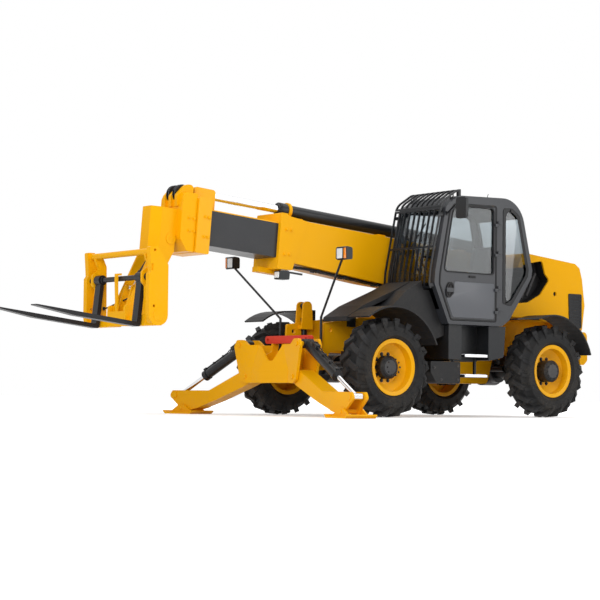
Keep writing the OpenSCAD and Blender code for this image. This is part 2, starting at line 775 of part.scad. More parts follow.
// Notched panel between the towers, leaning back above a fold
module front_panel(x) {
    intersection() {
        along_y(-360, 360) polygon([[x, 400], [x + 25, 400], [x + 25, 545], [x, 870], [x - 25, 870], [x, 545]]);
        along_x(x - 60, x + 60) polygon(rounded([
            [-360, 400, 20], [360, 400, 20], [360, 865, 20], [230, 865, 30], [50, 668, 60], [-50, 668, 60],
            [-230, 865, 30], [-360, 865, 20]]));
    }
}
// Red bar that lies across the frame, with slots on top and a bore near each end
module lock_bar() {
    color(red) place() difference() {
        along_x(front_plate_x + 20, front_plate_x + 100) polygon(rounded([
            [-430, bar_low, 40], [430, bar_low, 40], [430, bar_low + 95, 40], [-430, bar_low + 95, 40]]));
        for (y = [-375, 375])
            pin_x(18, front_plate_x, front_plate_x + 120, y, bar_low + 48);
        for (y = [-250, -90, 70, 230])
            box(front_plate_x + 42, front_plate_x + 78, y - 45, y + 45, bar_low + 60, bar_low + 96);
    }
}
// Stabiliser leg with a forked end for its ram and foot
module leg() {
    difference() {
        union() {
            along_y(-leg_half, leg_half) polygon(rounded([
                [-75, 55, 50], [50, 82, 50], [660, -178, 60], [880, -178, 10], [880, leg_drop + 3, 10],
                [560, -305, 60], [20, -110, 60], [-75, -65, 50]]));
            both_sides() along_y(fork_half_in, leg_half) polygon(rounded([
                [760, -178.5, 0], [ram_eye[0] + 45, -180, 35], [ram_eye[0] + 92, -250, 35],
                [leg_run + 58, leg_drop + 15, 20], [leg_run + 38, leg_drop - 42, 28],
                [leg_run - 55, leg_drop - 42, 28],
                [850, leg_drop + 6, 20], [760, -355, 0]]));
            both_sides() pin_y(42, leg_half - 1, leg_half + 12, ram_eye[0], ram_eye[1]);
        }
        box(690, 900, -fork_half_in, fork_half_in, -312, -100);
        pin_y(leg_pin_r + run_gap, -leg_half - 1, leg_half + 1);
        pin_y(foot_pin_r + run_gap, -leg_half - 1, leg_half + 1, leg_run, leg_drop);
    }
}
foot_pin_r = 26;
module leg_left() color(yellow) on_stab(1) leg();
module leg_right() color(yellow) on_stab(-1) leg();
// Foot with outer lugs on the leg's end pin
pad_t = 20;
module foot() {
    translate([leg_run, 0, leg_drop]) {
        pin_y(foot_pin_r, -leg_half - 35, leg_half + 35);
        both_sides() along_y(leg_half + 6, leg_half + 28) polygon(rounded([
            [-205, -foot_z + pad_t - 1, 0], [205, -foot_z + pad_t - 1, 0], [42, 42, 40], [-42, 42, 40]]));
        along_y(-pad_w / 2, pad_w / 2) polygon(rounded([
            [-pad_l / 2, -foot_z + 45, 0], [-pad_l / 2 - 12, -foot_z + 34, 0], [-pad_l / 2 + 30, -foot_z, 0],
            [pad_l / 2 - 30, -foot_z, 0], [pad_l / 2 + 12, -foot_z + 34, 0], [pad_l / 2, -foot_z + 45, 0],
            [pad_l / 2 - 40, -foot_z + pad_t, 0], [-pad_l / 2 + 40, -foot_z + pad_t, 0]]));
    }
}
module foot_left() color(yellow) on_stab(1) foot();
module foot_right() color(yellow) on_stab(-1) foot();
leg_barrel_len = 820;
leg_rod_start = 560;
module leg_barrel() {
    translate([ram_top_u, 0, ram_top_z]) rotate([0, -ram_angle, 0])
        ram_barrel(leg_barrel_r, leg_rod_r, leg_pin_r, leg_barrel_len, 66);
}
module leg_rod() {
    translate([ram_top_u, 0, ram_top_z]) rotate([0, -ram_angle, 0])
        ram_rod(leg_rod_r, 40, leg_rod_start, ram_len, 55, 22, 68);
}
module leg_barrel_left() color(black) on_stab(1) leg_barrel();
module leg_barrel_right() color(black) on_stab(-1) leg_barrel();
module leg_rod_left() color(steel) on_stab(1) leg_rod();
module leg_rod_right() color(steel) on_stab(-1) leg_rod();

// Lamps on bent stalks, mirrors, tail lamps and the towing hitch
stalk_x = 485;
stalk_y = 402;
lamp_at = [720, 1110, 1925];
module front_lamps() {
    color(black) place() both_sides() {
        pin_z(16, 640, 1210, stalk_x, stalk_y);
        for (z = [650, 710])
            box(stalk_x - 30, stalk_x + 30, rail_y1 + seat_gap, stalk_y + 22, z, z + 30);
        tube_between([stalk_x, stalk_y, 1205], lamp_at - [0, 40, 60], 14);
        translate(lamp_at) along_y(-90, 90) polygon(rounded([
            [-50, -70, 20], [40, -80, 15], [50, 80, 15], [-50, 70, 30]]));
    }
}
module mirrors() {
    color(black) place() {
        box(-886, -852, cab_out + seat_gap, cab_out + 12, 2488, 2540);
        tube_between([-869, cab_out + 8, 2514], [-790, cab_out + 300, 2640], 11);
        along_x(-810, -770) polygon(rounded([
            [cab_out + 260, 2420, 40], [cab_out + 440, 2420, 40], [cab_out + 440, 2680, 40],
            [cab_out + 260, 2680, 40]]));
    }
}
hitch_bore_r = 16;
module tow_hitch() {
    color(black) place() difference() {
        union() {
            box(-3675, -3645, -140, 140, 480, 700);
            for (z = [520, 620])
                box(tail_x, -3670, -60, 60, z, z + 30);
        }
        pin_z(hitch_bore_r, 500, 670, tail_x + 45, 0);
    }
}
module rear_lamps() {
    color(red) place() both_sides() along_x(-3762, -3746.8) polygon(rounded([
        [600, 900, 20], [820, 900, 20], [820, 1020, 20], [600, 1020, 20]]));
}

// Boom sections, each a box that slides in the one behind it
top_outer = 180;
mid_low = -315;
mid_top = 113;
inner_low = mid_low + 30;
inner_top = mid_top - 30;
nose_low = inner_low + 30;
nose_top = inner_top - 30;
ram_t = 305;
mid_rear = mid_collar - 3950;
inner_collar = mid_collar + 195;
inner_rear = mid_rear + 110;
nose_rear = inner_rear + 110;
module boom_tube(half, low, top, s0, s1) {
    difference() {
        box(s0, s1, -half, half, low, top);
        box(s0 - 1, s1 + 1, -half + boom_wall, half - boom_wall, low + boom_wall, top - boom_wall);
    }
}
// Slide pads at the back end of a section, inside the walls of the one that holds it
module rear_pads(half, low, top, hold_half, hold_top, s) {
    side = hold_half - boom_wall - seat_gap;
    roof = hold_top - boom_wall - seat_gap;
    both_sides() box(s + 20, s + 220, half - 2, side, low + 60, top - 60);
    box(s + 20, s + 220, -half + 40, half - 40, top - 2, roof);
}
module outer_boom() {
    w = boom_wall;
    color(yellow) on_boom() difference() {
        union() {
            along_y(-outer_half, outer_half) polygon(rounded([
                [-230, -160, 120], [700, -435, 60], [2500, -417, 0], [outer_front - 180, -350, 0],
                [outer_front, -350, 0], [outer_front, top_outer, 0], [-230, top_outer, 120]]));
            along_y(-outer_half - 9, outer_half + 9) polygon(rounded([
                [outer_front - 225, -445, 20], [outer_front, -455, 10], [outer_front, 232, 15],
                [outer_front - 95, 232, 15], [outer_front - 120, 206, 10], [outer_front - 270, 194, 0],
                [outer_front - 420, 178, 0]]));
            box(outer_front - 200, outer_front + 150, -60, 60, -500, -437);
            box(outer_front - 200, outer_front, -60, 60, -500, -395);
            pin_y(140, -rail_y0 + 4, rail_y0 - 4);
            for (y = [-130, 100])
                along_y(y, y + 30) polygon(rounded([
                    [lift_pin_s - 230, -400, 0], [lift_pin_s - 75, lift_pin_t - 60, 60],
                    [lift_pin_s + 75, lift_pin_t - 60, 60], [lift_pin_s + 230, -400, 0]]));
            for (s = [900, 2300, outer_front - 460])
                box(s, s + 120, -80, 80, top_outer - 2, ram_t - ext_barrel_r - seat_gap);
        }
        pin_y(boom_pin_r + run_gap, -rail_y0, rail_y0);
        along_y(-outer_half + w, outer_half - w) polygon([
            [180, -268], [705, -434 + w], [2500, -417 + w], [outer_front - 180, -350 + w],
            [outer_front - 130, -350 + w], [outer_front - 130, top_outer - w], [180, top_outer - w]]);
        box(outer_front - 150, outer_front + 1, -mid_half - seat_gap, mid_half + seat_gap,
            mid_low - seat_gap, mid_top + seat_gap);
    }
}
// Work lamp on an arm under the boom's front end
module boom_lamp() {
    color(black) on_boom() {
        box(outer_front - 420, outer_front - 170, 185, 205, -480, -458);
        along_y(140, 250) polygon(rounded([
            [outer_front - 190, -566, 20], [outer_front - 40, -575, 15], [outer_front - 35, -470, 15],
            [outer_front - 190, -456, 30]]));
    }
}
ext_barrel_r = 78;
ext_barrel_rear = 700;
ext_barrel_front = outer_front - 136;
module extension_barrel() {
    color(black) on_boom() translate([0, 0, ram_t]) difference() {
        union() {
            pin_x(ext_barrel_r, ext_barrel_rear, ext_barrel_front);
            pin_x(ext_barrel_r + 10, ext_barrel_front - 90, ext_barrel_front);
        }
        pin_x(ext_rod_r + 10, ext_barrel_rear + 40, ext_barrel_front - 80);
        pin_x(ext_rod_r + run_gap, ext_barrel_front - 81, ext_barrel_front + 1);
    }
}
rod_lug = mid_collar - 150;
module boom_section_2() {
    color("#3c3e42") on_boom() difference() {
        union() {
            boom_tube(mid_half, mid_low, mid_top, mid_rear, mid_collar + 10);
            rear_pads(mid_half, mid_low, mid_top, outer_half, top_outer, mid_rear);
            along_y(-255, 255) polygon(rounded([
                [mid_collar, -428, 20], [mid_collar + 190, -428, 20], [mid_collar + 190, 230, 30],
                [mid_collar, 230, 40]]));
            along_y(-85, 85) polygon(rounded([
                [rod_lug, 215, 20], [mid_collar + 150, 215, 0], [mid_collar + 150, 370, 30],
                [rod_lug, 370, 40]]));
            box(rod_lug, mid_collar + 10, -85, 85, mid_top - 1, 232);
        }
        box(mid_collar - 20, mid_collar + 191, -inner_half - seat_gap, inner_half + seat_gap,
            inner_low - seat_gap, inner_top + seat_gap);
    }
}
module extension_rod() {
    color(steel) on_boom() pin_x(ext_rod_r, mid_rear + 450, rod_lug, 0, ram_t);
}
module boom_section_3() {
    color(yellow) on_boom() difference() {
        union() {
            boom_tube(inner_half, inner_low, inner_top, inner_rear, inner_collar + 10);
            rear_pads(inner_half, inner_low, inner_top, mid_half, mid_top, inner_rear);
            along_y(-225, 225) polygon(rounded([
                [inner_collar, -425, 20], [inner_collar + 100, -425, 20], [inner_collar + 205, -280, 60],
                [inner_collar + 205, 200, 60], [inner_collar + 170, 260, 40], [inner_collar, 260, 20]]));
            for (y = [-150, -25, 100])
                along_y(y, y + 50) polygon(rounded([
                    [inner_collar + 20, 240, 0], [inner_collar + 230, 90, 0], [inner_collar + 245, 220, 60],
                    [inner_collar + 130, 365, 100], [inner_collar + 20, 365, 40]]));
        }
        box(inner_collar - 20, inner_collar + 260, -nose_half - seat_gap, nose_half + seat_gap,
            nose_low - seat_gap, nose_top + seat_gap);
    }
}
nose_s = inner_collar + 215;
nose_plate = 25;
nose_front = 5890;
nose_break = 5770;
nose_tip_half = 85;
head_low = -455;
nose_outline = [
    [nose_s, nose_top, 0], [nose_s, nose_low - 180, 20], [5690, -720, 80],
    [nose_end[0] - 100, nose_end[1] - 90, 90], [nose_end[0] + 95, nose_end[1] - 90, 90],
    [nose_end[0] + 80, nose_end[1] + 120, 60], [5855, head_low + 8, 30], [nose_break, head_low + 20, 10],
    [nose_break, nose_top, 0]];
// Plan of the nose's head, its front corners cut off, inside a wall of the given thickness
module head_plan(wall) {
    half = nose_half - wall;
    tip = nose_tip_half - 0.6 * wall;
    polygon([
        [nose_s - wall, -half], [nose_break - 0.25 * wall, -half], [nose_front - wall, -tip],
        [nose_front - wall, tip], [nose_break - 0.25 * wall, half], [nose_s - wall, half]]);
}
module boom_nose() {
    color(yellow) on_boom() difference() {
        union() {
            boom_tube(nose_half, nose_low, nose_top, nose_rear, nose_s + 20);
            rear_pads(nose_half, nose_low, nose_top, inner_half, inner_top, nose_rear);
            both_sides() along_y(nose_half - nose_plate, nose_half) polygon(rounded(nose_outline));
            translate([0, 0, head_low]) linear_extrude(nose_top - head_low) difference() {
                head_plan(0);
                head_plan(nose_plate);
            }
            translate([0, 0, nose_top - 20]) linear_extrude(20) head_plan(0);
            pin_y(tilt_pin_r, -nose_half - 12, nose_half + 12, tilt_base_s, tilt_base_t);
            both_sides() pin_y(66, nose_half - 1, nose_half + 8, tilt_base_s, tilt_base_t);
        }
        pin_y(nose_pin_r + run_gap, -nose_half - 1, nose_half + 1, nose_end[0], nose_end[1]);
    }
}
nose_pin_r = 45;

// Carriage that holds the forks, hinged on the nose
plate_t = 70;
bar_r = 30;
bar_local = [-fork_t / 2, 560];
bar_at = [fork_heel_x, fork_heel_z] + turn(bar_local, fork_angle);
module carriage() {
    cx = carriage_x;
    cz = carriage_z;
    color(yellow) place() difference() {
        union() {
            both_sides() {
                along_y(carriage_half - plate_t, carriage_half) polygon(rounded([
                    [cx - 120, cz - 110, 115], [cx + 134, cz - 110, 115], [cx + 136, cz + 455, 10],
                    [cx + 112, cz + 490, 10], [cx + 132, cz + 765, 20], [cx + 30, cz + 765, 30],
                    [cx - 118, cz + 570, 40]]));
                pin_y(72, carriage_half - 2, carriage_half + 4, cx + 4, cz + 8);
                along_y(505, 540) polygon(rounded([
                    [cx - 70, cz - 110, 40], [cx + 85, cz - 110, 40], [cx + 85, cz + 330, 20],
                    [bar_at[0] + 60, bar_at[1] - 60, 40], [bar_at[0] + 60, bar_at[1] + 60, 40],
                    [cx + 40, cz + 560, 20], [cx + 110, cz + 700, 60], [cx + 20, cz + 770, 40],
                    [cx - 60, cz + 600, 40]]));
                box(cx - 40, cx + 80, 150, carriage_half - 5, cz - 110, cz + 10);
                along_y(148, 190) polygon(rounded([
                    [cx - 90, cz - 110, 60], [cx + 120, cz - 110, 20], [cx + 120, cz + 150, 40],
                    [cx - 60, cz + 90, 60]]));
                along_y(62, 90) polygon(rounded([
                    [cx - 60, cz - 60, 50], [cx + 60, cz - 60, 50], [cx + 60, cz + 60, 40],
                    [cx + tilt_pin_dx + 60, cz + tilt_pin_dz + 50, 50],
                    [cx + tilt_pin_dx - 50, cz + tilt_pin_dz + 40, 50]]));
            }
            box(cx + 102, cx + 122, -190, 190, cz - 110, cz + 60);
            along_y(-20, 20) polygon([
                [cx + 102, cz + 40], [cx + 122, cz + 40], [cx + 138, cz + 400], [cx + 138, cz + 488],
                [cx + 66, cz + 496], [cx + 66, cz + 472], [cx + 112, cz + 466], [cx + 112, cz + 400]]);
            pin_y(nose_pin_r, -190, 190, cx, cz);
            pin_y(36, -carriage_half + 2, carriage_half - 2, cx + 65, cz + 715);
        }
        both_sides() {
            pin_y(bar_r + seat_gap, 500, 545, bar_at[0], bar_at[1]);
            pin_y(16, carriage_half - 40, carriage_half + 1, cx + 63, cz + 725);
            pin_y(16, carriage_half - plate_t - 1, carriage_half + 1, cx + 66, cz + 103);
            box(cx + 84, cx + 108, carriage_half - 12, carriage_half + 1, cz + 500, cz + 570);
        }
    }
}
module forks() {
    color(rubber) place() {
        translate([fork_heel_x, 0, fork_heel_z]) rotate([0, -fork_angle, 0]) both_sides()
            along_y(fork_y - fork_w / 2, fork_y + fork_w / 2) {
                polygon(rounded([
                    [-fork_t, 540, 0], [-fork_t, 0, 30], [fork_len - 500, 0, 0], [fork_len, fork_t - 14, 0],
                    [fork_len, fork_t - 2, 0], [fork_len - 30, fork_t, 0], [0, fork_t, 14], [0, 540, 0]]));
                translate(bar_local) circle(r = 58);
            }
        pin_y(bar_r, -carriage_half + plate_t + 2, carriage_half - plate_t - 2, bar_at[0], bar_at[1]);
        both_sides() {
            pin_y(42, 340, 366, bar_at[0], bar_at[1]);
            pin_y(44, 546, 572, bar_at[0], bar_at[1]);
        }
    }
}
tilt_barrel_len = 560;
module tilt_barrel() {
    color(black) place() translate([tilt_base[0], 0, tilt_base[1]]) rotate([0, -tilt_angle, 0])
        ram_barrel(tilt_barrel_r, tilt_rod_r, tilt_pin_r, tilt_barrel_len, 50);
}
module tilt_rod() {
    color(steel) place() translate([tilt_base[0], 0, tilt_base[1]]) rotate([0, -tilt_angle, 0])
        ram_rod(tilt_rod_r, 42, 140, tilt_len, 46, 24, 56);
}
lift_barrel_len = 1320;
module lift_barrel() {
    color(black) place() translate([lift_base[0], 0, lift_base[1]]) rotate([0, -lift_angle, 0])
        ram_barrel(lift_barrel_r, lift_rod_r, lift_pin_r, lift_barrel_len, 75);
}
module lift_rod() {
    color(steel) place() translate([lift_base[0], 0, lift_base[1]]) rotate([0, -lift_angle, 0])
        ram_rod(lift_rod_r, 62, 480, lift_len, 60, 38, 92);
}

// One knuckle, rim and tyre at each corner
module knuckle_fl() knuckle(1, 0);
module knuckle_fr() knuckle(-1, 0);
module knuckle_rl() knuckle(1, rear_axle_x);
module knuckle_rr() knuckle(-1, rear_axle_x);
module rim_fl() rim(1, 0, front_hub_face);
module rim_fr() rim(-1, 0, front_hub_face);
module rim_rl() rim(1, rear_axle_x, rear_hub_face);
module rim_rr() rim(-1, rear_axle_x, rear_hub_face);
module tyre_fl() tyre(1, 0);
module tyre_fr() tyre(-1, 0);
module tyre_rl() tyre(1, rear_axle_x);
module tyre_rr() tyre(-1, rear_axle_x);

main_frame();
engine_bay();
engine_block();
engine_cover();
rear_covers();
rear_grille();
cab_shell();
cab_sides();
cab_glass();
windscreen_guard();
seat_base();
seat_cushion();
steering_console();
front_shroud();
fenders();
step_box();
belly_cover();
front_axle();
rear_axle();
stabiliser_frame();
lock_bar();
front_lamps();
mirrors();
tow_hitch();
rear_lamps();
door_frame();
door_glass();
knuckle_fl();
knuckle_fr();
knuckle_rl();
knuckle_rr();
rim_fl();
rim_fr();
rim_rl();
rim_rr();
tyre_fl();
tyre_fr();
tyre_rl();
tyre_rr();
leg_left();
leg_right();
foot_left();
foot_right();
leg_barrel_left();
leg_barrel_right();
leg_rod_left();
leg_rod_right();
outer_boom();
boom_lamp();
extension_barrel();
boom_section_2();
extension_rod();
boom_section_3();
boom_nose();
carriage();
forks();
tilt_barrel();
tilt_rod();
lift_barrel();
lift_rod();
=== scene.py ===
"""Finishes, trim and studio for a telescopic handler."""

import json
import math

import bmesh
import bpy
from bpy.props import FloatProperty, FloatVectorProperty, IntProperty, PointerProperty
from mathutils import Matrix, Vector


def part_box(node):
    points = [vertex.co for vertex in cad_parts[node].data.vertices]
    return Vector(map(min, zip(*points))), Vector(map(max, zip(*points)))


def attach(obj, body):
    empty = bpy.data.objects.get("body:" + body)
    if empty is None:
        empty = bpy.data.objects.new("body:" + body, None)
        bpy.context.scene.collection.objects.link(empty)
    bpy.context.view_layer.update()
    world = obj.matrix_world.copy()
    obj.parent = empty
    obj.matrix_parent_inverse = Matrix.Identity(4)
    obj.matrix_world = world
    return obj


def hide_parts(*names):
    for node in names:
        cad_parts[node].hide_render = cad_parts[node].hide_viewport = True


bl_info = {
    "name": "Telehandler finish",
    "version": (1, 0, 0),
    "blender": (4, 5, 0),
    "location": "3D View > Sidebar > Telehandler",
    "description": "Paint, tread, bolts, lamps, seat and studio for a telescopic handler",
    "category": "Object",
}

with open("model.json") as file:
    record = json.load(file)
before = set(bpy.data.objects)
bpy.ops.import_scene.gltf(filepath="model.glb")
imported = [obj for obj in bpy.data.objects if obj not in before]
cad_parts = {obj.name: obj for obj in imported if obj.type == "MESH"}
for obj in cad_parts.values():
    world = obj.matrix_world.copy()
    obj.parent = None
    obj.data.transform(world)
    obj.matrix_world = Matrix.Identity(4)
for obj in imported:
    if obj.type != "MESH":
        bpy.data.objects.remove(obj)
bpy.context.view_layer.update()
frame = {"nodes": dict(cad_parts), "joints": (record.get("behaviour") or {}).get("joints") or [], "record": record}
JOINTS = {joint["name"]: joint for joint in frame["joints"]}
CORNERS = (("fl", 1), ("fr", -1), ("rl", 1), ("rr", -1))
SIDES = (("left", 1), ("right", -1))

# Frame of the boom: distance along it from its pivot, height across it, and side
ACROSS = Vector((0, 1, 0))
BOOM_PIVOT = Vector(JOINTS["boom_lift"]["pos_m"])
BOOM_ALONG = Vector(JOINTS["extend_2"]["axis"])
BOOM_UP = Vector((-BOOM_ALONG.z, 0, BOOM_ALONG.x))
BOOM_TURN = Matrix((BOOM_ALONG, ACROSS, BOOM_UP)).transposed().to_4x4()
FRONT_AXLE_X = JOINTS["spin_fl"]["pos_m"][0]

# Places on the machine, in metres
HUB_R = 0.141
COLLAR_START = 5.149
RAM_HEIGHT = 0.305
CAB_SIDE = 1.17
COVER_SIDE = 0.826


def boom_point(along, up, side=0.0):
    """Point of the boom's own frame in the machine's frame"""
    return BOOM_PIVOT + BOOM_ALONG * along + BOOM_UP * up + ACROSS * side


def machine_point(x, y, z):
    """Point measured forward from the front axle, to the cab side and up"""
    return Vector((FRONT_AXLE_X + x, y, z))


def machine_path(*points):
    """Points measured like machine_point's"""
    return [machine_point(*point) for point in points]


def colour_setting(name, description, default):
    """Property for a paint or tint"""
    return FloatVectorProperty(name=name, description=description, subtype="COLOR", default=default)


def angle_setting(name, description, degrees):
    """Property for an angle, its default given in degrees"""
    return FloatProperty(name=name, description=description, default=math.radians(degrees), subtype="ANGLE")


class PaintSettings(bpy.types.PropertyGroup):
    """Colours of the finishes"""

    yellow: colour_setting("Body yellow", "Paint of the body and boom", (0.88, 0.42, 0.001))
    black: colour_setting("Satin black", "Paint of the axles, rams and frames", (0.011, 0.012, 0.014))
    cab: colour_setting("Cab charcoal", "Paint of the cab and door frame", (0.03, 0.032, 0.037))
    # The door panel is dark paint like the cab's; its paler grey is painted reflection, standing for the sheen on the
    # pressed panel
    panel: colour_setting("Door panel", "Paint of the door's pressed panel", (0.075, 0.08, 0.092))
    charcoal: colour_setting("Boom charcoal", "Paint of the second boom section", (0.03, 0.031, 0.034))
    red: colour_setting("Bar red", "Paint of the bar on the front frame", (0.66, 0.045, 0.02))
    rubber: colour_setting("Tyre rubber", "Rubber of the tyres", (0.012, 0.012, 0.0125))
    dust: colour_setting("Dust", "Dry dust that settles low on the machine", (0.33, 0.27, 0.2))
    # The window colours are the pale tops of the glass's painted sky reflection; each window darkens towards its foot
    glass: colour_setting("Window tint", "Tint of the cab glass", (0.72, 0.77, 0.8))
    door_glass: colour_setting("Door tint", "Tint of the door's glass", (0.4, 0.455, 0.475))


class TrimSettings(bpy.types.PropertyGroup):
    """Sizes of the trim"""

    collar_bolt_r: FloatProperty(
        name="Collar bolt radius", description="Head radius of the boom collars' bolts", default=0.016, unit="LENGTH"
    )
    wheel_nut_r: FloatProperty(
        name="Wheel nut radius", description="Outer radius of a wheel nut", default=0.017, unit="LENGTH"
    )
    wheel_nuts: IntProperty(name="Wheel nuts", description="Nuts on each wheel", default=10, min=6, max=14)


class StudioSettings(bpy.types.PropertyGroup):
    """Camera and light of the studio"""

    camera_place: FloatVectorProperty(
        name="Camera place",
        description="Camera, from the front axle",
        default=(13.6657, 16.5438, 0.2672),
        subtype="TRANSLATION",
    )
    camera_yaw: angle_setting("Yaw", "Heading of the view", 231.479)
    camera_pitch: angle_setting("Pitch", "Rise of the view", 3.1336)
    camera_roll: angle_setting("Roll", "Roll of the view", -0.6652)
    lens: FloatProperty(name="Lens", description="Focal length for a 36 mm sensor", default=103.12)
    sky: FloatProperty(name="Sky light", description="Strength of the even studio light", default=0.42, min=0.0)


def feed(tree, socket, value):
    """Links a socket to another one, or sets it to a value"""
    if isinstance(value, bpy.types.NodeSocket):
        tree.links.new(value, socket)
    else:
        socket.default_value = value


def add_node(tree, kind, inputs=None, **settings):
    """A shader node with its settings, its sockets set or linked by name or number"""
    made = tree.nodes.new(kind)
    for name, value in settings.items():
        setattr(made, name, value)
    for name, value in (inputs or {}).items():
        feed(tree, made.inputs[name], value)
    return made


def add_math(tree, operation, first, second=0.0, third=0.0, clamp=False):
    """Output of one Math node"""
    inputs = {0: first, 1: second, 2: third}
    return add_node(tree, "ShaderNodeMath", inputs, operation=operation, use_clamp=clamp).outputs[0]


def add_mix(tree, factor, first, second):
    """Output of a colour mix"""
    return add_node(tree, "ShaderNodeMix", {0: factor, 6: first, 7: second}, data_type="RGBA").outputs[2]


def ramp(tree, value, low, high):
    """A value stretched from low and high to nought and one"""
    return add_node(tree, "ShaderNodeMapRange", {0: value, 1: low, 2: high}, clamp=True).outputs[0]


def coordinates(tree):
    """Place on the machine, in metres"""
    return add_node(tree, "ShaderNodeTexCoord").outputs["Object"]


def place_parts(tree):
    """Place on the machine as its three parts"""
    return add_node(tree, "ShaderNodeSeparateXYZ", {0: coordinates(tree)}).outputs


def distance_along(tree, axis):
    """Place on the machine measured along an axis"""
    inputs = {0: coordinates(tree), 1: axis}
    return add_node(tree, "ShaderNodeVectorMath", inputs, operation="DOT_PRODUCT").outputs["Value"]


def noise(tree, scale, detail, roughness=0.5):
    """Cloudy noise over the machine"""
    inputs = {"Vector": coordinates(tree), "Scale": scale, "Detail": detail, "Roughness": roughness}
    return add_node(tree, "ShaderNodeTexNoise", inputs).outputs[0]


def rgba(colour):
    """A colour without transparency"""
    return (*colour, 1.0)


def new_group(name, inputs, outputs):
    """Empty shader node group with float and colour sockets"""
    tree = bpy.data.node_groups.new(name, "ShaderNodeTree")
    for direction, sockets in (("INPUT", inputs), ("OUTPUT", outputs)):
        for label, kind in sockets:
            tree.interface.new_socket(label, in_out=direction, socket_type=f"NodeSocket{kind}")
    return tree, tree.nodes.new("NodeGroupInput").outputs, tree.nodes.new("NodeGroupOutput").inputs


def dust_group():
    """Dust that gathers low down and in soft patches"""
    tree, given, result = new_group(
        "Settled dust",
        (("Paint", "Color"), ("Dust", "Color"), ("Amount", "Float"), ("Reach", "Float")),
        (("Color", "Color"), ("Mask", "Float")),
    )
    height = add_math(tree, "DIVIDE", place_parts(tree)[2], given["Reach"])
    low = add_math(tree, "SUBTRACT", 1.0, height, clamp=True)
    patches = ramp(tree, noise(tree, 2.6, 6.0, 0.62), 0.42, 0.72)
    specks = ramp(tree, noise(tree, 34.0, 4.0, 0.7), 0.35, 0.7)
    spread = add_math(tree, "MULTIPLY_ADD", low, 0.8, 0.12)
    mask = add_math(tree, "MULTIPLY", add_math(tree, "MULTIPLY", patches, specks), spread)
    mask = add_math(tree, "MULTIPLY", mask, given["Amount"], clamp=True)
    feed(tree, result["Color"], add_mix(tree, mask, given["Paint"], given["Dust"]))
    feed(tree, result["Mask"], mask)
    return tree


def grain_group():
    """Fine unevenness of a sprayed or moulded surface"""
    tree, given, result = new_group(
        "Surface grain",
        (("Scale", "Float"), ("Roughness", "Float"), ("Spread", "Float")),
        (("Height", "Float"), ("Roughness", "Float")),
    )
    broad = add_math(tree, "SUBTRACT", noise(tree, 4.0, 5.0), 0.5)
    swing = add_math(tree, "MULTIPLY", broad, given["Spread"])
    feed(tree, result["Height"], noise(tree, given["Scale"], 3.0))
    feed(tree, result["Roughness"], add_math(tree, "ADD", swing, given["Roughness"], clamp=True))
    return tree


GROUPS = {}


def use_group(tree, name, builder, inputs):
    """Outputs of the shared group in a material, with that material's values"""
    if name not in GROUPS:
        GROUPS[name] = builder()
    return add_node(tree, "ShaderNodeGroup", inputs, node_tree=GROUPS[name]).outputs


def new_material(name, **fixed):
    """Material with a Principled shader and its fixed sockets"""
    made = bpy.data.materials.new(name)
    made.use_nodes = True
    shader = made.node_tree.nodes["Principled BSDF"]
    for label, value in fixed.items():
        shader.inputs[label.replace("_", " ")].default_value = value
    return made, made.node_tree, shader.inputs


def finish_surface(tree, shader, colour, roughness, spread, scale, depth, dust, reach=2.2):
    """Dust over a colour, uneven gloss and fine grain"""
    settled = rgba(bpy.context.scene.telehandler_paint.dust)
    film = use_group(tree, "dust", dust_group, {"Paint": colour, "Dust": settled, "Amount": dust, "Reach": reach})
    grain = use_group(tree, "grain", grain_group, {"Scale": scale, "Roughness": roughness, "Spread": spread})
    bump = add_node(tree, "ShaderNodeBump", {"Height": grain["Height"], "Strength": 0.25, "Distance": depth})
    feed(tree, shader["Base Color"], film["Color"])
    feed(tree, shader["Roughness"], add_math(tree, "MULTIPLY_ADD", film["Mask"], 0.4, grain["Roughness"]))
    feed(tree, shader["Normal"], bump.outputs[0])


def one_colour(name, colour, roughness, spread, scale, depth, dust, **fixed):
    """Material of one colour under its dust"""
    made, tree, shader = new_material(name, **fixed)
    finish_surface(tree, shader, rgba(colour), roughness, spread, scale, depth, dust)
    return made


def paint(name, colour, roughness, gloss, dust=0.2):
    """Sprayed paint on steel"""
    return one_colour(name, colour, roughness, 0.12, 220.0, 0.0006, dust, Specular_IOR_Level=gloss)


def moulded(name, colour, roughness, dust):
    """Moulded plastic or rubber with a fine grain"""
    return one_colour(name, colour, roughness, 0.15, 420.0, 0.0012, dust, Specular_IOR_Level=0.2)


def wheel_distance(tree, axle):
    """Distance from a wheel's axle"""
    place = place_parts(tree)
    across = add_math(tree, "SUBTRACT", place[0], axle[0])
    up = add_math(tree, "SUBTRACT", place[2], axle[2])
    square = add_math(tree, "MULTIPLY_ADD", across, across, add_math(tree, "MULTIPLY", up, up))
    return add_math(tree, "SQRT", square)


def rim_paint(name, axle):
    """Yellow rim with a dark hub and a paler hub face"""
    settings = bpy.context.scene.telehandler_paint
    made, tree, shader = new_material(name, Specular_IOR_Level=0.16)
    away = wheel_distance(tree, axle)
    outside = ramp(tree, away, HUB_R, HUB_R + 0.002)
    face = ramp(tree, away, HUB_R * 0.62, HUB_R * 0.64)
    hub = add_mix(tree, face, (0.06, 0.06, 0.063, 1.0), rgba(settings.black))
    colour = add_mix(tree, outside, hub, rgba(settings.yellow))
    finish_surface(tree, shader, colour, 0.36, 0.12, 220.0, 0.0006, 0.35, 1.6)
    return made


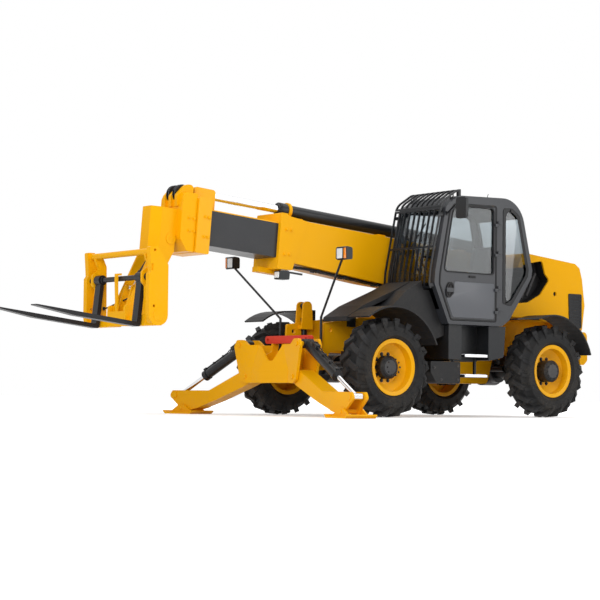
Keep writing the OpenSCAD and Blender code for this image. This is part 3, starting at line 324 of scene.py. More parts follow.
def tyre_rubber(name, axle):
    """Rubber with moulded rings on the sidewall and a paler, worn tread"""
    rubber = bpy.context.scene.telehandler_paint.rubber
    made, tree, shader = new_material(name, Specular_IOR_Level=0.15)
    away = wheel_distance(tree, axle)
    worn = [part * 2.6 for part in rubber]
    tread = add_mix(tree, ramp(tree, away, 0.5, 0.59), rgba(rubber), rgba(worn))
    finish_surface(tree, shader, tread, 0.56, 0.2, 300.0, 0.0015, 0.2, 1.5)
    rings = add_math(tree, "SINE", add_math(tree, "MULTIPLY", away, 420.0))
    band = add_math(tree, "MULTIPLY", ramp(tree, away, 0.355, 0.37), ramp(tree, away, 0.45, 0.44))
    height = add_math(tree, "MULTIPLY", rings, band)
    grain = shader["Normal"].links[0].from_socket
    bump = add_node(tree, "ShaderNodeBump", {"Height": height, "Strength": 0.5, "Distance": 0.002, "Normal": grain})
    feed(tree, shader["Normal"], bump.outputs[0])
    return made


def boom_two_tone(name):
    """Charcoal boom section that turns yellow at its front collar and on its raised top"""
    settings = bpy.context.scene.telehandler_paint
    made, tree, shader = new_material(name, Specular_IOR_Level=0.2)
    collar_place = BOOM_PIVOT.dot(BOOM_ALONG) + COLLAR_START
    top_place = BOOM_PIVOT.dot(BOOM_UP) + 0.1
    front = add_math(tree, "GREATER_THAN", distance_along(tree, BOOM_ALONG), collar_place)
    raised = add_math(tree, "GREATER_THAN", distance_along(tree, BOOM_UP), top_place)
    collar = add_math(tree, "MAXIMUM", front, raised)
    colour = add_mix(tree, collar, rgba(settings.charcoal), rgba(settings.yellow))
    finish_surface(tree, shader, colour, 0.34, 0.12, 220.0, 0.0006, 0.15)
    return made


def polished_steel(name, roughness):
    """Bright metal with fine turned scratches"""
    return one_colour(name, (0.72, 0.73, 0.75), roughness, 0.1, 900.0, 0.0003, 0.1, Metallic=1.0)


def glass_with_painted_reflection(name, tint, foot):
    """Tinted window with a painted sky reflection: paler at the top and darker towards its foot by the given share"""
    made, tree, shader = new_material(name, Transmission_Weight=1.0, IOR=1.45, Roughness=0.0)
    # Painted reflection: the colour runs from the darkened foot at 1.7 m to the pale tint at 2.7 m, standing for the
    # sky reflected in the glass
    painted_reflection_low = [part * foot for part in tint]
    height = ramp(tree, place_parts(tree)[2], 1.7, 2.7)
    feed(tree, shader["Base Color"], add_mix(tree, height, rgba(painted_reflection_low), rgba(tint)))
    return made


def lens(name, colour):
    """Moulded lamp lens with fine ribs"""
    return one_colour(name, colour, 0.12, 0.04, 160.0, 0.002, 0.1, Coat_Weight=0.8, Coat_Roughness=0.03)


def woven_cloth(name, colour):
    """Seat cloth with a fine weave"""
    return one_colour(name, colour, 0.85, 0.1, 900.0, 0.002, 0.1, Sheen_Weight=0.3)


def seen_rays(tree):
    """One for rays from the camera, direct, mirrored or through glass"""
    rays = add_node(tree, "ShaderNodeLightPath").outputs
    seen = add_math(tree, "ADD", rays["Is Camera Ray"], rays["Is Glossy Ray"])
    return add_math(tree, "ADD", seen, rays["Is Transmission Ray"], clamp=True)


MATERIALS = {}

# Finish of a CAD node by its material slot
NODE_FINISH = {
    "yellow_paint": "yellow", "black_paint": "black", "grey_paint": "collar", "red_paint": "red",
    "fork_steel": "fork", "black_plastic": "plastic", "chrome_rod": "chrome", "glass": "glass",
    "cast_iron": "iron", "seat_cloth": "cloth", "red_lens": "red_lens", "tyre": "plastic",
}
SMOOTH_ANGLE = math.radians(35.0)


def give(material, *names):
    """The material on CAD nodes"""
    for name in names:
        piece = frame["nodes"][name]
        piece.data.materials.clear()
        piece.data.materials.append(MATERIALS[material])


def add_piece(name, bm, body, material):
    """A finished mesh as a piece that rides on a body"""
    bmesh.ops.remove_doubles(bm, verts=bm.verts, dist=1e-6)
    bmesh.ops.recalc_face_normals(bm, faces=bm.faces)
    mesh = bpy.data.meshes.new(name)
    bm.to_mesh(mesh)
    bm.free()
    mesh.materials.append(MATERIALS[material])
    piece = bpy.data.objects.new(name, mesh)
    bpy.context.scene.collection.objects.link(piece)
    mesh.shade_smooth()
    mesh.set_sharp_from_angle(angle=SMOOTH_ANGLE)
    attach(piece, body)
    return piece


def turned(axis):
    """Turn that takes Z to an axis"""
    return Vector((0, 0, 1)).rotation_difference(Vector(axis).normalized()).to_matrix().to_4x4()


def edges_of(verts):
    """Edges that meet some vertices, each once and in order"""
    return list(dict.fromkeys(edge for vert in verts for edge in vert.link_edges))


def round_edges(bm, edges, width, segments=2):
    """Edges rounded off"""
    bmesh.ops.bevel(bm, geom=edges, offset=width, segments=segments, profile=0.5, affect="EDGES", material=-1)


def add_rod(bm, start, end, radius, end_radius=None, segments=20, bevel=0.0):
    """Round bar between two points"""
    start, end = Vector(start), Vector(end)
    made = bmesh.ops.create_cone(
        bm,
        cap_ends=True,
        segments=segments,
        radius1=radius,
        radius2=radius if end_radius is None else end_radius,
        depth=(end - start).length,
        matrix=Matrix.Translation((start + end) / 2) @ turned(end - start),
    )["verts"]
    if bevel:
        sharp = [e for e in edges_of(made) if len(e.link_faces) == 2 and e.calc_face_angle() > 1.0]
        round_edges(bm, sharp, bevel)


def add_block(bm, middle, half, bevel, turn):
    """Box with rounded edges, given by its middle, half its size and its turn"""
    place = Matrix.Translation(middle) @ turn @ Matrix.Diagonal((*half, 1.0))
    round_edges(bm, edges_of(bmesh.ops.create_cube(bm, size=2.0, matrix=place)["verts"]), bevel)


def add_bolt(bm, seat, axis, radius):
    """Washer and hexagon head standing on a face"""
    axis, seat = Vector(axis).normalized(), Vector(seat)
    add_rod(bm, seat, seat + axis * radius * 0.22, radius * 1.45, segments=16)
    add_rod(bm, seat, seat + axis * radius * 0.95, radius, radius * 0.9, segments=6)


def boom_bolts(places, half_width, radius):
    """Bolts on both sides of the boom, at distances along it and heights across it"""
    bm = bmesh.new()
    for _, side in SIDES:
        for along, up in places:
            add_bolt(bm, boom_point(along, up, side * half_width), ACROSS * side, radius)
    return bm


def rectangle(left, low, right, high, radius):
    """Corners of a rectangle, for rounded and inset"""
    return ((left, low, radius), (right, low, radius), (right, high, radius), (left, high, radius))


def rounded(points, steps=6):
    """Outline whose corners, each given as two measures and a radius, are drawn as arcs"""
    made = []
    for i, (first, second, radius) in enumerate(points):
        corner = Vector((first, second))
        back = (Vector(points[i - 1][:2]) - corner).normalized()
        ahead = (Vector(points[(i + 1) % len(points)][:2]) - corner).normalized()
        half = back.angle(ahead) / 2
        middle = corner + (back + ahead).normalized() * radius / math.sin(half)
        start = corner + back * radius / math.tan(half) - middle
        sweep = -start.angle_signed(corner + ahead * radius / math.tan(half) - middle)
        made += [middle + Matrix.Rotation(sweep * k / steps, 2) @ start for k in range(steps + 1)]
    return made


def inset(points, depth):
    """The same outline moved inwards, for points that run anticlockwise"""
    made = []
    for i, (first, second, radius) in enumerate(points):
        corner = Vector((first, second))
        before = (corner - Vector(points[i - 1][:2])).normalized().orthogonal()
        after = (Vector(points[(i + 1) % len(points)][:2]) - corner).normalized().orthogonal()
        moved = corner + (before + after) * depth / (1 + before.dot(after))
        made.append((*moved, max(0.002, radius - depth)))
    return made


def side_plane(side_y, out=1):
    """Plane along the machine at a side, its third measure pointing out"""
    turn = Matrix(((1, 0, 0), (0, 0, out), (0, 1, 0))).to_4x4()
    return Matrix.Translation(machine_point(0, side_y, 0)) @ turn


def cross_plane(place, width=1, out=1):
    """Plane across the machine through a place, its third measure pointing forward"""
    return Matrix.Translation(place) @ Matrix(((0, 0, out), (width, 0, 0), (0, 1, 0))).to_4x4()


def add_outline(bm, points, place):
    """Closed line of edges on a plane"""
    verts = [bm.verts.new(place @ Vector((*point, 0.0))) for point in points]
    return [bm.edges.new(pair) for pair in zip(verts, verts[1:] + verts[:1])]


def raise_faces(bm, faces, place, depth):
    """Solid drawn out from faces on a plane, and the edges of its raised end"""
    made = bmesh.ops.extrude_face_region(bm, geom=faces)["geom"]
    verts = [part for part in made if isinstance(part, bmesh.types.BMVert)]
    bmesh.ops.translate(bm, vec=place.to_3x3() @ Vector((0, 0, depth)), verts=verts)
    return [edge for part in made if isinstance(part, bmesh.types.BMFace) for edge in part.edges]


def add_ring(bm, outer, inner, place, depth):
    """Flat frame between two outlines, raised from its plane"""
    edges = add_outline(bm, outer, place) + add_outline(bm, inner, place)
    raise_faces(bm, bmesh.ops.bridge_loops(bm, edges=edges)["faces"], place, depth)


def add_border(bm, points, outside, inside, place, depth):
    """Flat frame along an outline, between two insets of it"""
    add_ring(bm, rounded(inset(points, outside)), rounded(inset(points, inside)), place, depth)


def add_plate(bm, outline, place, depth, bevel=0.0):
    """Plate with a rounded rim, raised from its plane"""
    faces = bmesh.ops.edgeloop_fill(bm, edges=add_outline(bm, outline, place))["faces"]
    rim = raise_faces(bm, faces, place, depth)
    if bevel:
        round_edges(bm, rim, bevel, 3)


def add_pipe(bm, points, radius, segments=12):
    """Round pipe through points, square to its bends"""
    points = [Vector(point) for point in points]
    across = (points[1] - points[0]).orthogonal().normalized()
    rings = []
    for i, point in enumerate(points):
        back = (point - points[max(i - 1, 0)]).normalized()
        ahead = (points[min(i + 1, len(points) - 1)] - point).normalized()
        along = (back + ahead).normalized()
        across = (across - along * across.dot(along)).normalized()
        turn = Matrix((across.cross(along), across, along)).transposed().to_4x4()
        place = Matrix.Translation(point) @ turn
        rings.append(edges_of(bmesh.ops.create_circle(bm, segments=segments, radius=radius, matrix=place)["verts"]))
    for one, other in zip(rings, rings[1:]):
        bmesh.ops.bridge_loops(bm, edges=one + other)
    bmesh.ops.edgeloop_fill(bm, edges=rings[0] + rings[-1])


def bent(points, radius, steps=5):
    """Path whose inner points are drawn as bends"""
    points = [Vector(point) for point in points]
    made = [points[0]]
    for before, corner, after in zip(points, points[1:], points[2:]):
        start = corner + (before - corner).normalized() * radius
        end = corner + (after - corner).normalized() * radius
        for k in range(steps + 1):
            share = k / steps
            made.append(start.lerp(corner, share).lerp(corner.lerp(end, share), share))
    return made + [points[-1]]


def add_wheel(bm, profile, centre, axis, segments=32):
    """Turned piece, its profile given as radius and distance along its axis"""
    axis = Vector(axis).normalized()
    place = Matrix.Translation(centre) @ turned(axis)
    verts = [bm.verts.new(place @ Vector((radius, 0, along))) for radius, along in profile]
    edges = [bm.edges.new(pair) for pair in zip(verts, verts[1:] + verts[:1])]
    bmesh.ops.spin(
        bm, geom=verts + edges, cent=centre, axis=axis, angle=math.tau, steps=segments, use_merge=True
    )


class TELEHANDLER_OT_finishes(bpy.types.Operator):
    """Makes the finishes and gives one to each CAD node"""

    bl_idname = "telehandler.finishes"
    bl_label = "Finishes"

    def execute(self, context):
        colours = context.scene.telehandler_paint
        MATERIALS.update(
            yellow=paint("body_yellow", colours.yellow, 0.36, 0.09),
            black=paint("satin_black", colours.black, 0.34, 0.26, 0.08),
            cab=paint("cab_charcoal", colours.cab, 0.32, 0.36, 0.05),
            # The door panel's paint is paler than the cab's as painted reflection of the pressed panel's sheen
            panel=paint("door_charcoal_painted_sheen", colours.panel, 0.3, 0.45, 0.04),
            border=moulded("window_border", (0.01, 0.01, 0.011), 0.12, 0.0),
            red=paint("bar_red", colours.red, 0.4, 0.2, 0.1),
            fork=paint("fork_black", (0.012, 0.012, 0.014), 0.38, 0.25, 0.1),
            collar=boom_two_tone("charcoal_boom"),
            plastic=moulded("fender_plastic", (0.014, 0.014, 0.015), 0.5, 0.12),
            iron=moulded("engine_iron", (0.05, 0.05, 0.053), 0.6, 0.9),
            chrome=polished_steel("ram_chrome", 0.16),
            alloy=polished_steel("tread_alloy", 0.38),
            # Both windows carry a painted sky reflection, paler high up and darker low down
            glass=glass_with_painted_reflection("cab_glass", colours.glass, 0.55),
            door_glass=glass_with_painted_reflection("door_glass", colours.door_glass, 0.8),
            red_lens=lens("red_lens", (0.5, 0.012, 0.01)),
            clear_lens=lens("clear_lens", (0.75, 0.77, 0.78)),
            amber_lens=lens("amber_lens", (0.9, 0.25, 0.01)),
            cloth=woven_cloth("seat_cloth", (0.028, 0.03, 0.034)),
        )
        for end, word in (("f", "front"), ("r", "rear")):
            axle = JOINTS[f"spin_{end}l"]["pos_m"]
            MATERIALS[f"rim_{end}"] = rim_paint(f"{word}_rim_paint", axle)
            MATERIALS[f"tyre_{end}"] = tyre_rubber(f"{word}_tyre_rubber", axle)
        for part in frame["record"]["subparts"]:
            give(NODE_FINISH[part["material_slot"]], part["node"])
        give("cab", "cab_shell", "cab_sides", "door_frame")
        give("door_glass", "door_glass")
        for corner, _ in CORNERS:
            give(f"rim_{corner[0]}", f"rim_{corner}")
            give(f"tyre_{corner[0]}", f"tyre_{corner}")
        return {"FINISHED"}


class TELEHANDLER_OT_collar_bolts(bpy.types.Operator):
    """Bolts on both sides of the boom's front collars"""

    bl_idname = "telehandler.collar_bolts"
    bl_label = "Collar bolts"

    def execute(self, context):
        radius = context.scene.telehandler_trim.collar_bolt_r
        for body, half_width, places in (
            ("boom_2", 0.255, ((5.237, 0.006), (5.185, 0.003), (5.237, -0.227), (5.185, -0.227))),
            ("boom_3", 0.225, ((5.445, -0.032), (5.375, -0.036), (5.435, -0.182), (5.365, -0.181))),
        ):
            add_piece(f"collar_bolts_{body}", boom_bolts(places, half_width, radius), body, "yellow")
        return {"FINISHED"}


class TELEHANDLER_OT_wheel_nuts(bpy.types.Operator):
    """Nuts round each hub and bolts on each hub face"""

    bl_idname = "telehandler.wheel_nuts"
    bl_label = "Wheel nuts"

    def execute(self, context):
        trim = context.scene.telehandler_trim
        nut_circle, bolt_circle, disc_y = 0.165, 0.098, 0.003
        for corner, side in CORNERS:
            centre = Vector(JOINTS[f"spin_{corner}"]["pos_m"])
            low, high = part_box(f"rim_{corner}")
            face_y = (high.y if side > 0 else low.y) - centre.y
            nuts, bolts = bmesh.new(), bmesh.new()
            for k in range(trim.wheel_nuts):
                turn = math.tau * k / trim.wheel_nuts
                out = Vector((math.cos(turn), 0, math.sin(turn)))
                add_bolt(nuts, centre + out * nut_circle + ACROSS * side * disc_y, ACROSS * side, trim.wheel_nut_r)
                add_bolt(bolts, centre + out * bolt_circle + ACROSS * face_y, ACROSS * side, 0.009)
            add_piece(f"wheel_nuts_{corner}", nuts, f"wheel_{corner}", "black")
            add_piece(f"hub_bolts_{corner}", bolts, f"wheel_{corner}", "black")
        return {"FINISHED"}


class TELEHANDLER_OT_shoulder_bars(bpy.types.Operator):
    """Ends of the tread lugs that run down the tyres' shoulders"""

    bl_idname = "telehandler.shoulder_bars"
    bl_label = "Tread shoulder bars"

    def execute(self, context):
        bars = 18
        pitch, lead, slant = math.tau / bars, math.radians(7.2), math.tan(math.radians(34))
        half, seat = 0.023, 0.18
        profile = (
            (0.577, 0.15, 0.004), (0.5, 0.1905, 0.01), (0.475, 0.203, 0.01),
            (0.442, 0.2, 0.006), (0.43, 0.188, 0.003), (0.5, 0.16, 0.01),
        )
        for corner, side in CORNERS:
            centre = Vector(JOINTS[f"spin_{corner}"]["pos_m"])
            bm = bmesh.new()
            for row in (0, 1):
                axis = ACROSS * side * (1 - 2 * row)
                turn = pitch * row / 2 + lead
                out = Vector((math.cos(turn), 0, -side * math.sin(turn)))
                round_way = Vector((-math.sin(turn), 0, -side * math.cos(turn)))
                place = Matrix((out, axis + slant * round_way, round_way)).transposed().to_4x4()
                place = Matrix.Translation(centre - round_way * (seat * slant + half)) @ place
                add_plate(bm, rounded(profile, 2), place, half * 2, 0.005)
            every = bm.verts[:] + bm.edges[:] + bm.faces[:]
            around = math.tau - pitch
            bmesh.ops.spin(bm, geom=every, cent=centre, axis=ACROSS, angle=around, steps=bars - 1, use_duplicate=True)
            add_piece(f"shoulder_bars_{corner}", bm, f"wheel_{corner}", f"tyre_{corner[0]}")
        return {"FINISHED"}


# Outlines on the cab's side and the rear covers: forward of the front axle, up, corner radius
DOOR = (
    (-1.74, 1.195, 0.03), (-0.94, 1.195, 0.04), (-0.739, 1.64, 0.06), (-0.752, 1.79, 0.06),
    (-0.912, 2.56, 0.06), (-1.0, 2.65, 0.06), (-1.74, 2.67, 0.04),
)
DOOR_WINDOW = (
    (-1.68, 1.8, 0.04), (-0.83, 1.8, 0.05), (-0.975, 2.545, 0.06), (-1.035, 2.612, 0.04), (-1.68, 2.63, 0.05),
)
DOOR_PANEL = (
    (-1.69, 1.235, 0.03), (-0.975, 1.235, 0.04), (-0.865, 1.47, 0.03), (-0.99, 1.52, 0.03),
    (-1.0, 1.68, 0.03), (-1.69, 1.68, 0.03),
)
# This one runs clockwise, so its border lies inside the opening
QUARTER_WINDOW = (
    (-1.99, 1.41, 0.06), (-2.29, 1.8, 0.06), (-2.305, 1.89, 0.06), (-2.135, 2.57, 0.06), (-2.01, 2.655, 0.1),
    (-1.85, 2.65, 0.05), (-1.85, 1.44, 0.03),
)
COVER_WINDOW = (
    (-2.45, 1.48, 0.03), (-2.56, 1.99, 0.04), (-2.76, 2.03, 0.06), (-2.925, 2.06, 0.04), (-2.985, 1.885, 0.03),
    (-3.067, 1.815, 0.04), (-2.893, 1.61, 0.06), (-2.663, 1.5, 0.06),
)


class TELEHANDLER_OT_cab_trim(bpy.types.Operator):
    """Seals, panel, handle and latch of the cab's side"""

    bl_idname = "telehandler.cab_trim"
    bl_label = "Cab trim"

    def execute(self, context):
        face = side_plane(CAB_SIDE)
        seals, border, panel, bezel, latch = (bmesh.new() for _ in range(5))
        add_border(seals, DOOR, 0.008, 0.026, face, 0.005)
        add_border(seals, DOOR_WINDOW, -0.014, 0.004, face, 0.006)
        add_border(border, QUARTER_WINDOW, -0.042, 0.004, face, 0.006)
        add_plate(panel, rounded(DOOR_PANEL), face, 0.007, 0.005)
        middle, tilt = Vector((-0.918, 1.57)), Matrix.Rotation(math.radians(14), 2)
        turns = [math.tau * k / 40 for k in range(40)]
        oval = [Vector((0.058 * math.cos(turn), 0.1 * math.sin(turn))) for turn in turns]
        outer, inner, dish = ([middle + tilt @ (q * share) for q in oval] for share in (1.0, 0.8, 0.79))
        grip = [middle + tilt @ Vector((q.x * 0.28 + 0.006, q.y * 0.74)) for q in oval]
        add_ring(bezel, outer, inner, face, 0.018)
        add_plate(bezel, dish, face, 0.009)
        add_plate(bezel, grip, face, 0.02, 0.004)
        add_plate(latch, rounded(rectangle(-1.36, 1.735, -1.25, 1.765, 0.008)), face, 0.014, 0.004)
        add_piece("door_seals", seals, "door", "plastic")
        add_piece("quarter_seal", border, "chassis", "border")
        # The pressing's paler paint is painted reflection of its sheen
        add_piece("door_pressing", panel, "door", "panel")
        add_piece("handle_bezel", bezel, "door", "plastic")
        add_piece("door_latch", latch, "door", "plastic")
        return {"FINISHED"}


class TELEHANDLER_OT_cab_fittings(bpy.types.Operator):
    """Wiper, lifting eyes, short aerial and mirror glass"""

    bl_idname = "telehandler.cab_fittings"
    bl_label = "Cab fittings"

    def execute(self, context):
        wiper, eyes, aerial, glass = (bmesh.new() for _ in range(4))
        arm = machine_path((-0.69, 0.86, 1.82), (-0.672, 0.86, 1.84), (-0.745, 0.74, 2.2))
        add_pipe(wiper, bent(arm, 0.012), 0.007)
        add_rod(wiper, machine_point(-0.7, 0.86, 1.82), machine_point(-0.664, 0.86, 1.828), 0.018, 0.014, bevel=0.004)
        add_pipe(wiper, machine_path((-0.707, 0.6, 2.0), (-0.745, 0.74, 2.2), (-0.785, 0.88, 2.4)), 0.008, 6)
        add_piece("windscreen_wiper", wiper, "chassis", "plastic")
        eye_r, steps = 0.03, 24
        for y in (1.09, 0.38):
            foot = machine_point(-1.02, y, 2.712)
            add_rod(eyes, foot - Vector((0, 0, 0.012)), foot + Vector((0, 0, 0.02)), 0.022, 0.016, bevel=0.003)
            turns = [math.tau * (k / steps - 0.25) for k in range(steps + 1)]
            middle = foot + Vector((0, 0, 0.048))
            add_pipe(eyes, [middle + Vector((math.cos(a), 0, math.sin(a))) * eye_r for a in turns], 0.008, 10)
        add_piece("lifting_eyes", eyes, "chassis", "black")
        foot = machine_point(-1.68, 1.05, 2.766)
        add_rod(aerial, foot, foot + Vector((-0.003, 0, 0.016)), 0.016, 0.009, bevel=0.002)
        whip = ((-0.003, 0, 0.014), (-0.01, 0, 0.036), (-0.02, 0, 0.06))
        add_pipe(aerial, [foot + Vector(q) for q in whip], 0.004, 8)
        add_piece("whip_aerial", aerial, "chassis", "plastic")
        rear = cross_plane(machine_point(-0.8095, 0, 0), out=-1)
        add_plate(glass, rounded(rectangle(1.445, 2.435, 1.595, 2.665, 0.03)), rear, 0.003, 0.0015)
        add_piece("mirror_glass", glass, "chassis", "chrome")
        return {"FINISHED"}


class TELEHANDLER_OT_lamps(bpy.types.Operator):
    """Lenses of the lamps on the stalks and under the boom, bezels of the lamps"""

    bl_idname = "telehandler.lamps"
    bl_label = "Lamp lenses"

    def execute(self, context):
        clear, amber, bezel, work, tail = (bmesh.new() for _ in range(5))
        low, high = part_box("front_lamps")
        glass = rectangle(0.055, -0.062, 0.168, 0.062, 0.012)
        signal = rectangle(0.008, -0.062, 0.045, 0.062, 0.006)
        for _, side in SIDES:
            outer = high.y if side > 0 else low.y
            front = cross_plane((high.x - 0.012, outer, high.z - 0.08), -side)
            add_plate(clear, rounded(glass), front, 0.022, 0.006)
            add_plate(amber, rounded(signal), front, 0.02, 0.005)
            add_border(bezel, glass, -0.008, 0.002, front, 0.024)
        add_piece("headlamp_lenses", clear, "chassis", "clear_lens")
        add_piece("indicator_lenses", amber, "chassis", "amber_lens")
        add_piece("headlamp_bezels", bezel, "chassis", "plastic")
        front = Matrix.Translation(boom_point(4.079, -0.522, 0.195)) @ BOOM_TURN @ cross_plane((0, 0, 0))
        add_plate(work, rounded(rectangle(-0.043, -0.036, 0.043, 0.036, 0.01)), front, 0.012, 0.004)
        add_piece("work_lamp_lens", work, "boom", "clear_lens")
        low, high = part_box("rear_lamps")
        for _, side in SIDES:
            rear = cross_plane((low.x + 0.012, 0, 0), side, -1)
            add_border(tail, rectangle(0.6, 0.9, 0.82, 1.02, 0.02), -0.01, 0.004, rear, 0.016)
            for left in (0.672, 0.745):
                outer = rectangle(left, 0.905, left + 0.005, 1.015, 0.001)
                inner = rectangle(left + 0.002, 0.907, left + 0.003, 1.013, 0.0005)
                add_ring(tail, rounded(outer), rounded(inner), rear, 0.015)
        add_piece("tail_lamp_bezels", tail, "chassis", "plastic")
        return {"FINISHED"}


class TELEHANDLER_OT_boom_trim(bpy.types.Operator):
    """Pipes under the boom, sheaves and chains at its front"""

    bl_idname = "telehandler.boom_trim"
    bl_label = "Boom trim"

    def execute(self, context):
        pipes, clamps, sheaves, chains = (bmesh.new() for _ in range(4))
        for side_y in (0.08, 0.125, 0.17):
            route = ((0.95, -0.446), (2.5, -0.432), (3.55, -0.383), (3.86, -0.39))
            add_pipe(pipes, bent([boom_point(along, up, side_y) for along, up in route], 0.06), 0.012)
        for along, up in ((1.2, -0.43), (1.9, -0.424), (2.45, -0.418), (3.0, -0.394), (3.45, -0.373)):
            add_block(clamps, boom_point(along, up - 0.016, 0.125), (0.022, 0.075, 0.018), 0.004, BOOM_TURN)
            for side_y in (0.1, 0.148):
                add_bolt(clamps, boom_point(along, up - 0.034, side_y), -BOOM_UP, 0.008)
        add_piece("boom_pipes", pipes, "boom", "black")
        add_piece("pipe_clamps", clamps, "boom", "plastic")
        groove = ((0.03, 0.028), (0.108, 0.028), (0.112, 0.024), (0.112, 0.018), (0.094, 0.014))
        profile = [(radius, -along) for radius, along in groove] + list(groove[::-1])
        chain_r = 0.102
        for middle_y in (-0.0625, 0.0625):
            hub = boom_point(5.472, 0.252, middle_y)
            add_wheel(sheaves, profile, hub, ACROSS)
            for k in range(13):
                turn = math.radians(20 + 11 * k)
                spot = hub + (BOOM_ALONG * math.cos(turn) + BOOM_UP * math.sin(turn)) * chain_r
                link = BOOM_TURN @ Matrix.Rotation(math.pi / 2 - turn, 4, "Y")
                add_block(chains, spot, (0.0088, 0.013 if k % 2 else 0.0095, 0.006), 0.0015, link)
        add_piece("chain_sheaves", sheaves, "boom_3", "black")
        add_piece("boom_chains", chains, "boom_3", "iron")
        places = ((4.026, 0.037), (3.951, 0.041), (4.029, -0.265), (3.953, -0.258))
        add_piece("outer_collar_bolts", boom_bolts(places, 0.244, 0.017), "boom", "yellow")
        return {"FINISHED"}


class TELEHANDLER_OT_steps(bpy.types.Operator):
    """Bright ribbed treads on the two steps"""

    bl_idname = "telehandler.steps"
    bl_label = "Step treads"

    def execute(self, context):
        bm = bmesh.new()
        rear, front, inner, outer = -1.63, -1.24, 0.9, 1.118
        for z in (0.78, 0.53):
            flat = Matrix.Translation(machine_point(0, 0, z))
            add_plate(bm, rounded(rectangle(rear, inner, front, outer, 0.008)), flat, 0.004, 0.0015)
            for k in range(6):
                y = 0.92 + 0.036 * k
                for x in (-1.62, -1.43):
                    add_plate(bm, rounded(rectangle(x, y, x + 0.17, y + 0.014, 0.004), 3), flat, 0.009, 0.003)
            foot, head = z - 0.028, z + 0.004
            lip = ((rear, foot, 0.006), (front, foot, 0.006), (front, head, 0.004), (rear, head, 0.004))
            add_plate(bm, rounded(lip, 3), side_plane(outer), 0.006, 0.002)
        add_piece("step_treads", bm, "chassis", "alloy")
        return {"FINISHED"}


class TELEHANDLER_OT_ram_fittings(bpy.types.Operator):
    """Valve blocks and pipes on the stabiliser rams, gland and clamp of the extension ram"""

    bl_idname = "telehandler.ram_fittings"
    bl_label = "Ram fittings"

    def execute(self, context):
        for name, _ in SIDES:
            self.dress_leg_ram(name)
        clamp, gland = bmesh.new(), bmesh.new()
        band = ((0.0785, -0.02), (0.098, -0.02), (0.102, -0.016), (0.102, 0.016), (0.098, 0.02), (0.0785, 0.02))
        nose = (
            (0.0525, 0.0), (0.082, 0.0), (0.086, 0.004), (0.086, 0.016), (0.074, 0.02), (0.066, 0.036), (0.0525, 0.036),
        )
        add_wheel(clamp, band, boom_point(3.86, RAM_HEIGHT), BOOM_ALONG, 40)
        add_wheel(gland, nose, boom_point(3.985, RAM_HEIGHT), BOOM_ALONG, 40)
        bolt_circle = 0.076
        for k in range(6):
            turn = math.tau * k / 6
            up, side = RAM_HEIGHT + bolt_circle * math.sin(turn), bolt_circle * math.cos(turn)
            add_bolt(gland, boom_point(4.002, up, side), BOOM_ALONG, 0.006)
        add_piece("ram_clamp", clamp, "boom", "yellow")
        add_piece("ram_gland", gland, "boom", "black")
        return {"FINISHED"}

    def dress_leg_ram(self, name):
        """Valve block, pipes and their clips on one stabiliser ram's barrel"""
        barrel = JOINTS[f"leg_barrel_{name}_turn"]
        top, hinge = Vector(barrel["pos_m"]), Vector(barrel["axis"])
        along = Vector(JOINTS[f"leg_rod_{name}_slide"]["axis"])
        along = along if along.z < 0 else -along
        up = hinge.cross(along).normalized()
        up = up if up.z > 0 else -up
        turn = Matrix((along, hinge, up)).transposed().to_4x4()
        bm = bmesh.new()
        for reach, length, height in ((0.2, 0.11, 0.05), (0.77, 0.05, 0.03)):
            middle = top + along * reach + up * (0.056 + height / 2)
            add_block(bm, middle, (length / 2, 0.03, height / 2), 0.005, turn)
        for spread in (-0.014, 0.014):
            line = top + hinge * spread
            bends = ((0.25, 0.085), (0.3, 0.085), (0.33, 0.072), (0.75, 0.072))
            add_pipe(bm, bent([line + along * reach + up * height for reach, height in bends], 0.012), 0.0065)
            add_bolt(bm, line + along * 0.17 + up * 0.106, up, 0.008)
        for reach in (0.42, 0.6):
            add_block(bm, top + along * reach + up * 0.07, (0.012, 0.03, 0.012), 0.003, turn)
        add_piece(f"leg_ram_fittings_{name}", bm, f"leg_barrel_{name}", "black")


class TELEHANDLER_OT_cover_trim(bpy.types.Operator):
    """Near-black wells behind the rear covers' openings, painted shade for the dark inside them, and blades in their
    grilles
    """

    bl_idname = "telehandler.cover_trim"
    bl_label = "Cover trim"

    def execute(self, context):
        painted_shade_wells, lines, blades = (bmesh.new() for _ in range(3))
        plug = (
            (0.0, -0.035), (0.036, -0.035), (0.036, -0.0225), (0.029, -0.0225), (0.026, -0.028), (0.0, -0.028),
        )
        hoses = (
            ((-2.62, 1.56), (-2.8, 1.93), 0.034),
            ((-2.73, 1.59), (-2.9, 1.9), 0.02),
            ((-2.55, 1.6), (-2.66, 1.96), 0.014),
        )
        for _, side in SIDES:
            floor = side_plane(side * 0.66, side)
            # Painted shade: the wells' near-black lining stands for the shade deep behind the openings
            add_plate(painted_shade_wells, rounded(inset(COVER_WINDOW, -0.016)), floor, 0.006)
            add_border(painted_shade_wells, COVER_WINDOW, -0.016, -0.004, floor, 0.1435)
            add_wheel(painted_shade_wells, plug, machine_point(-3.17, side * COVER_SIDE, 1.633), ACROSS * side)
            for start, end, radius in hoses:
                first, last = (floor @ Vector((*q, 0.06)) for q in (start, end))
                add_rod(lines, first, last, radius, bevel=0.004)
                add_rod(lines, first.lerp(last, 0.42), first.lerp(last, 0.5), radius * 1.3, segments=6, bevel=0.003)
            slot = side_plane(side * (COVER_SIDE + 0.0006), side)
            for k in range(9):
                left, right = -3.66, -3.521 if k < 2 else -3.471
                low = 1.2225 + 0.046 * k
                high = low + 0.019
                add_plate(blades, ((left, low), (right, low), (right, high), (left, high)), slot, 0.005, 0.002)
        add_piece("cover_wells_painted_shade", painted_shade_wells, "chassis", "plastic")
        add_piece("cover_lines", lines, "chassis", "iron")
        add_piece("grille_blades", blades, "chassis", "black")
        return {"FINISHED"}


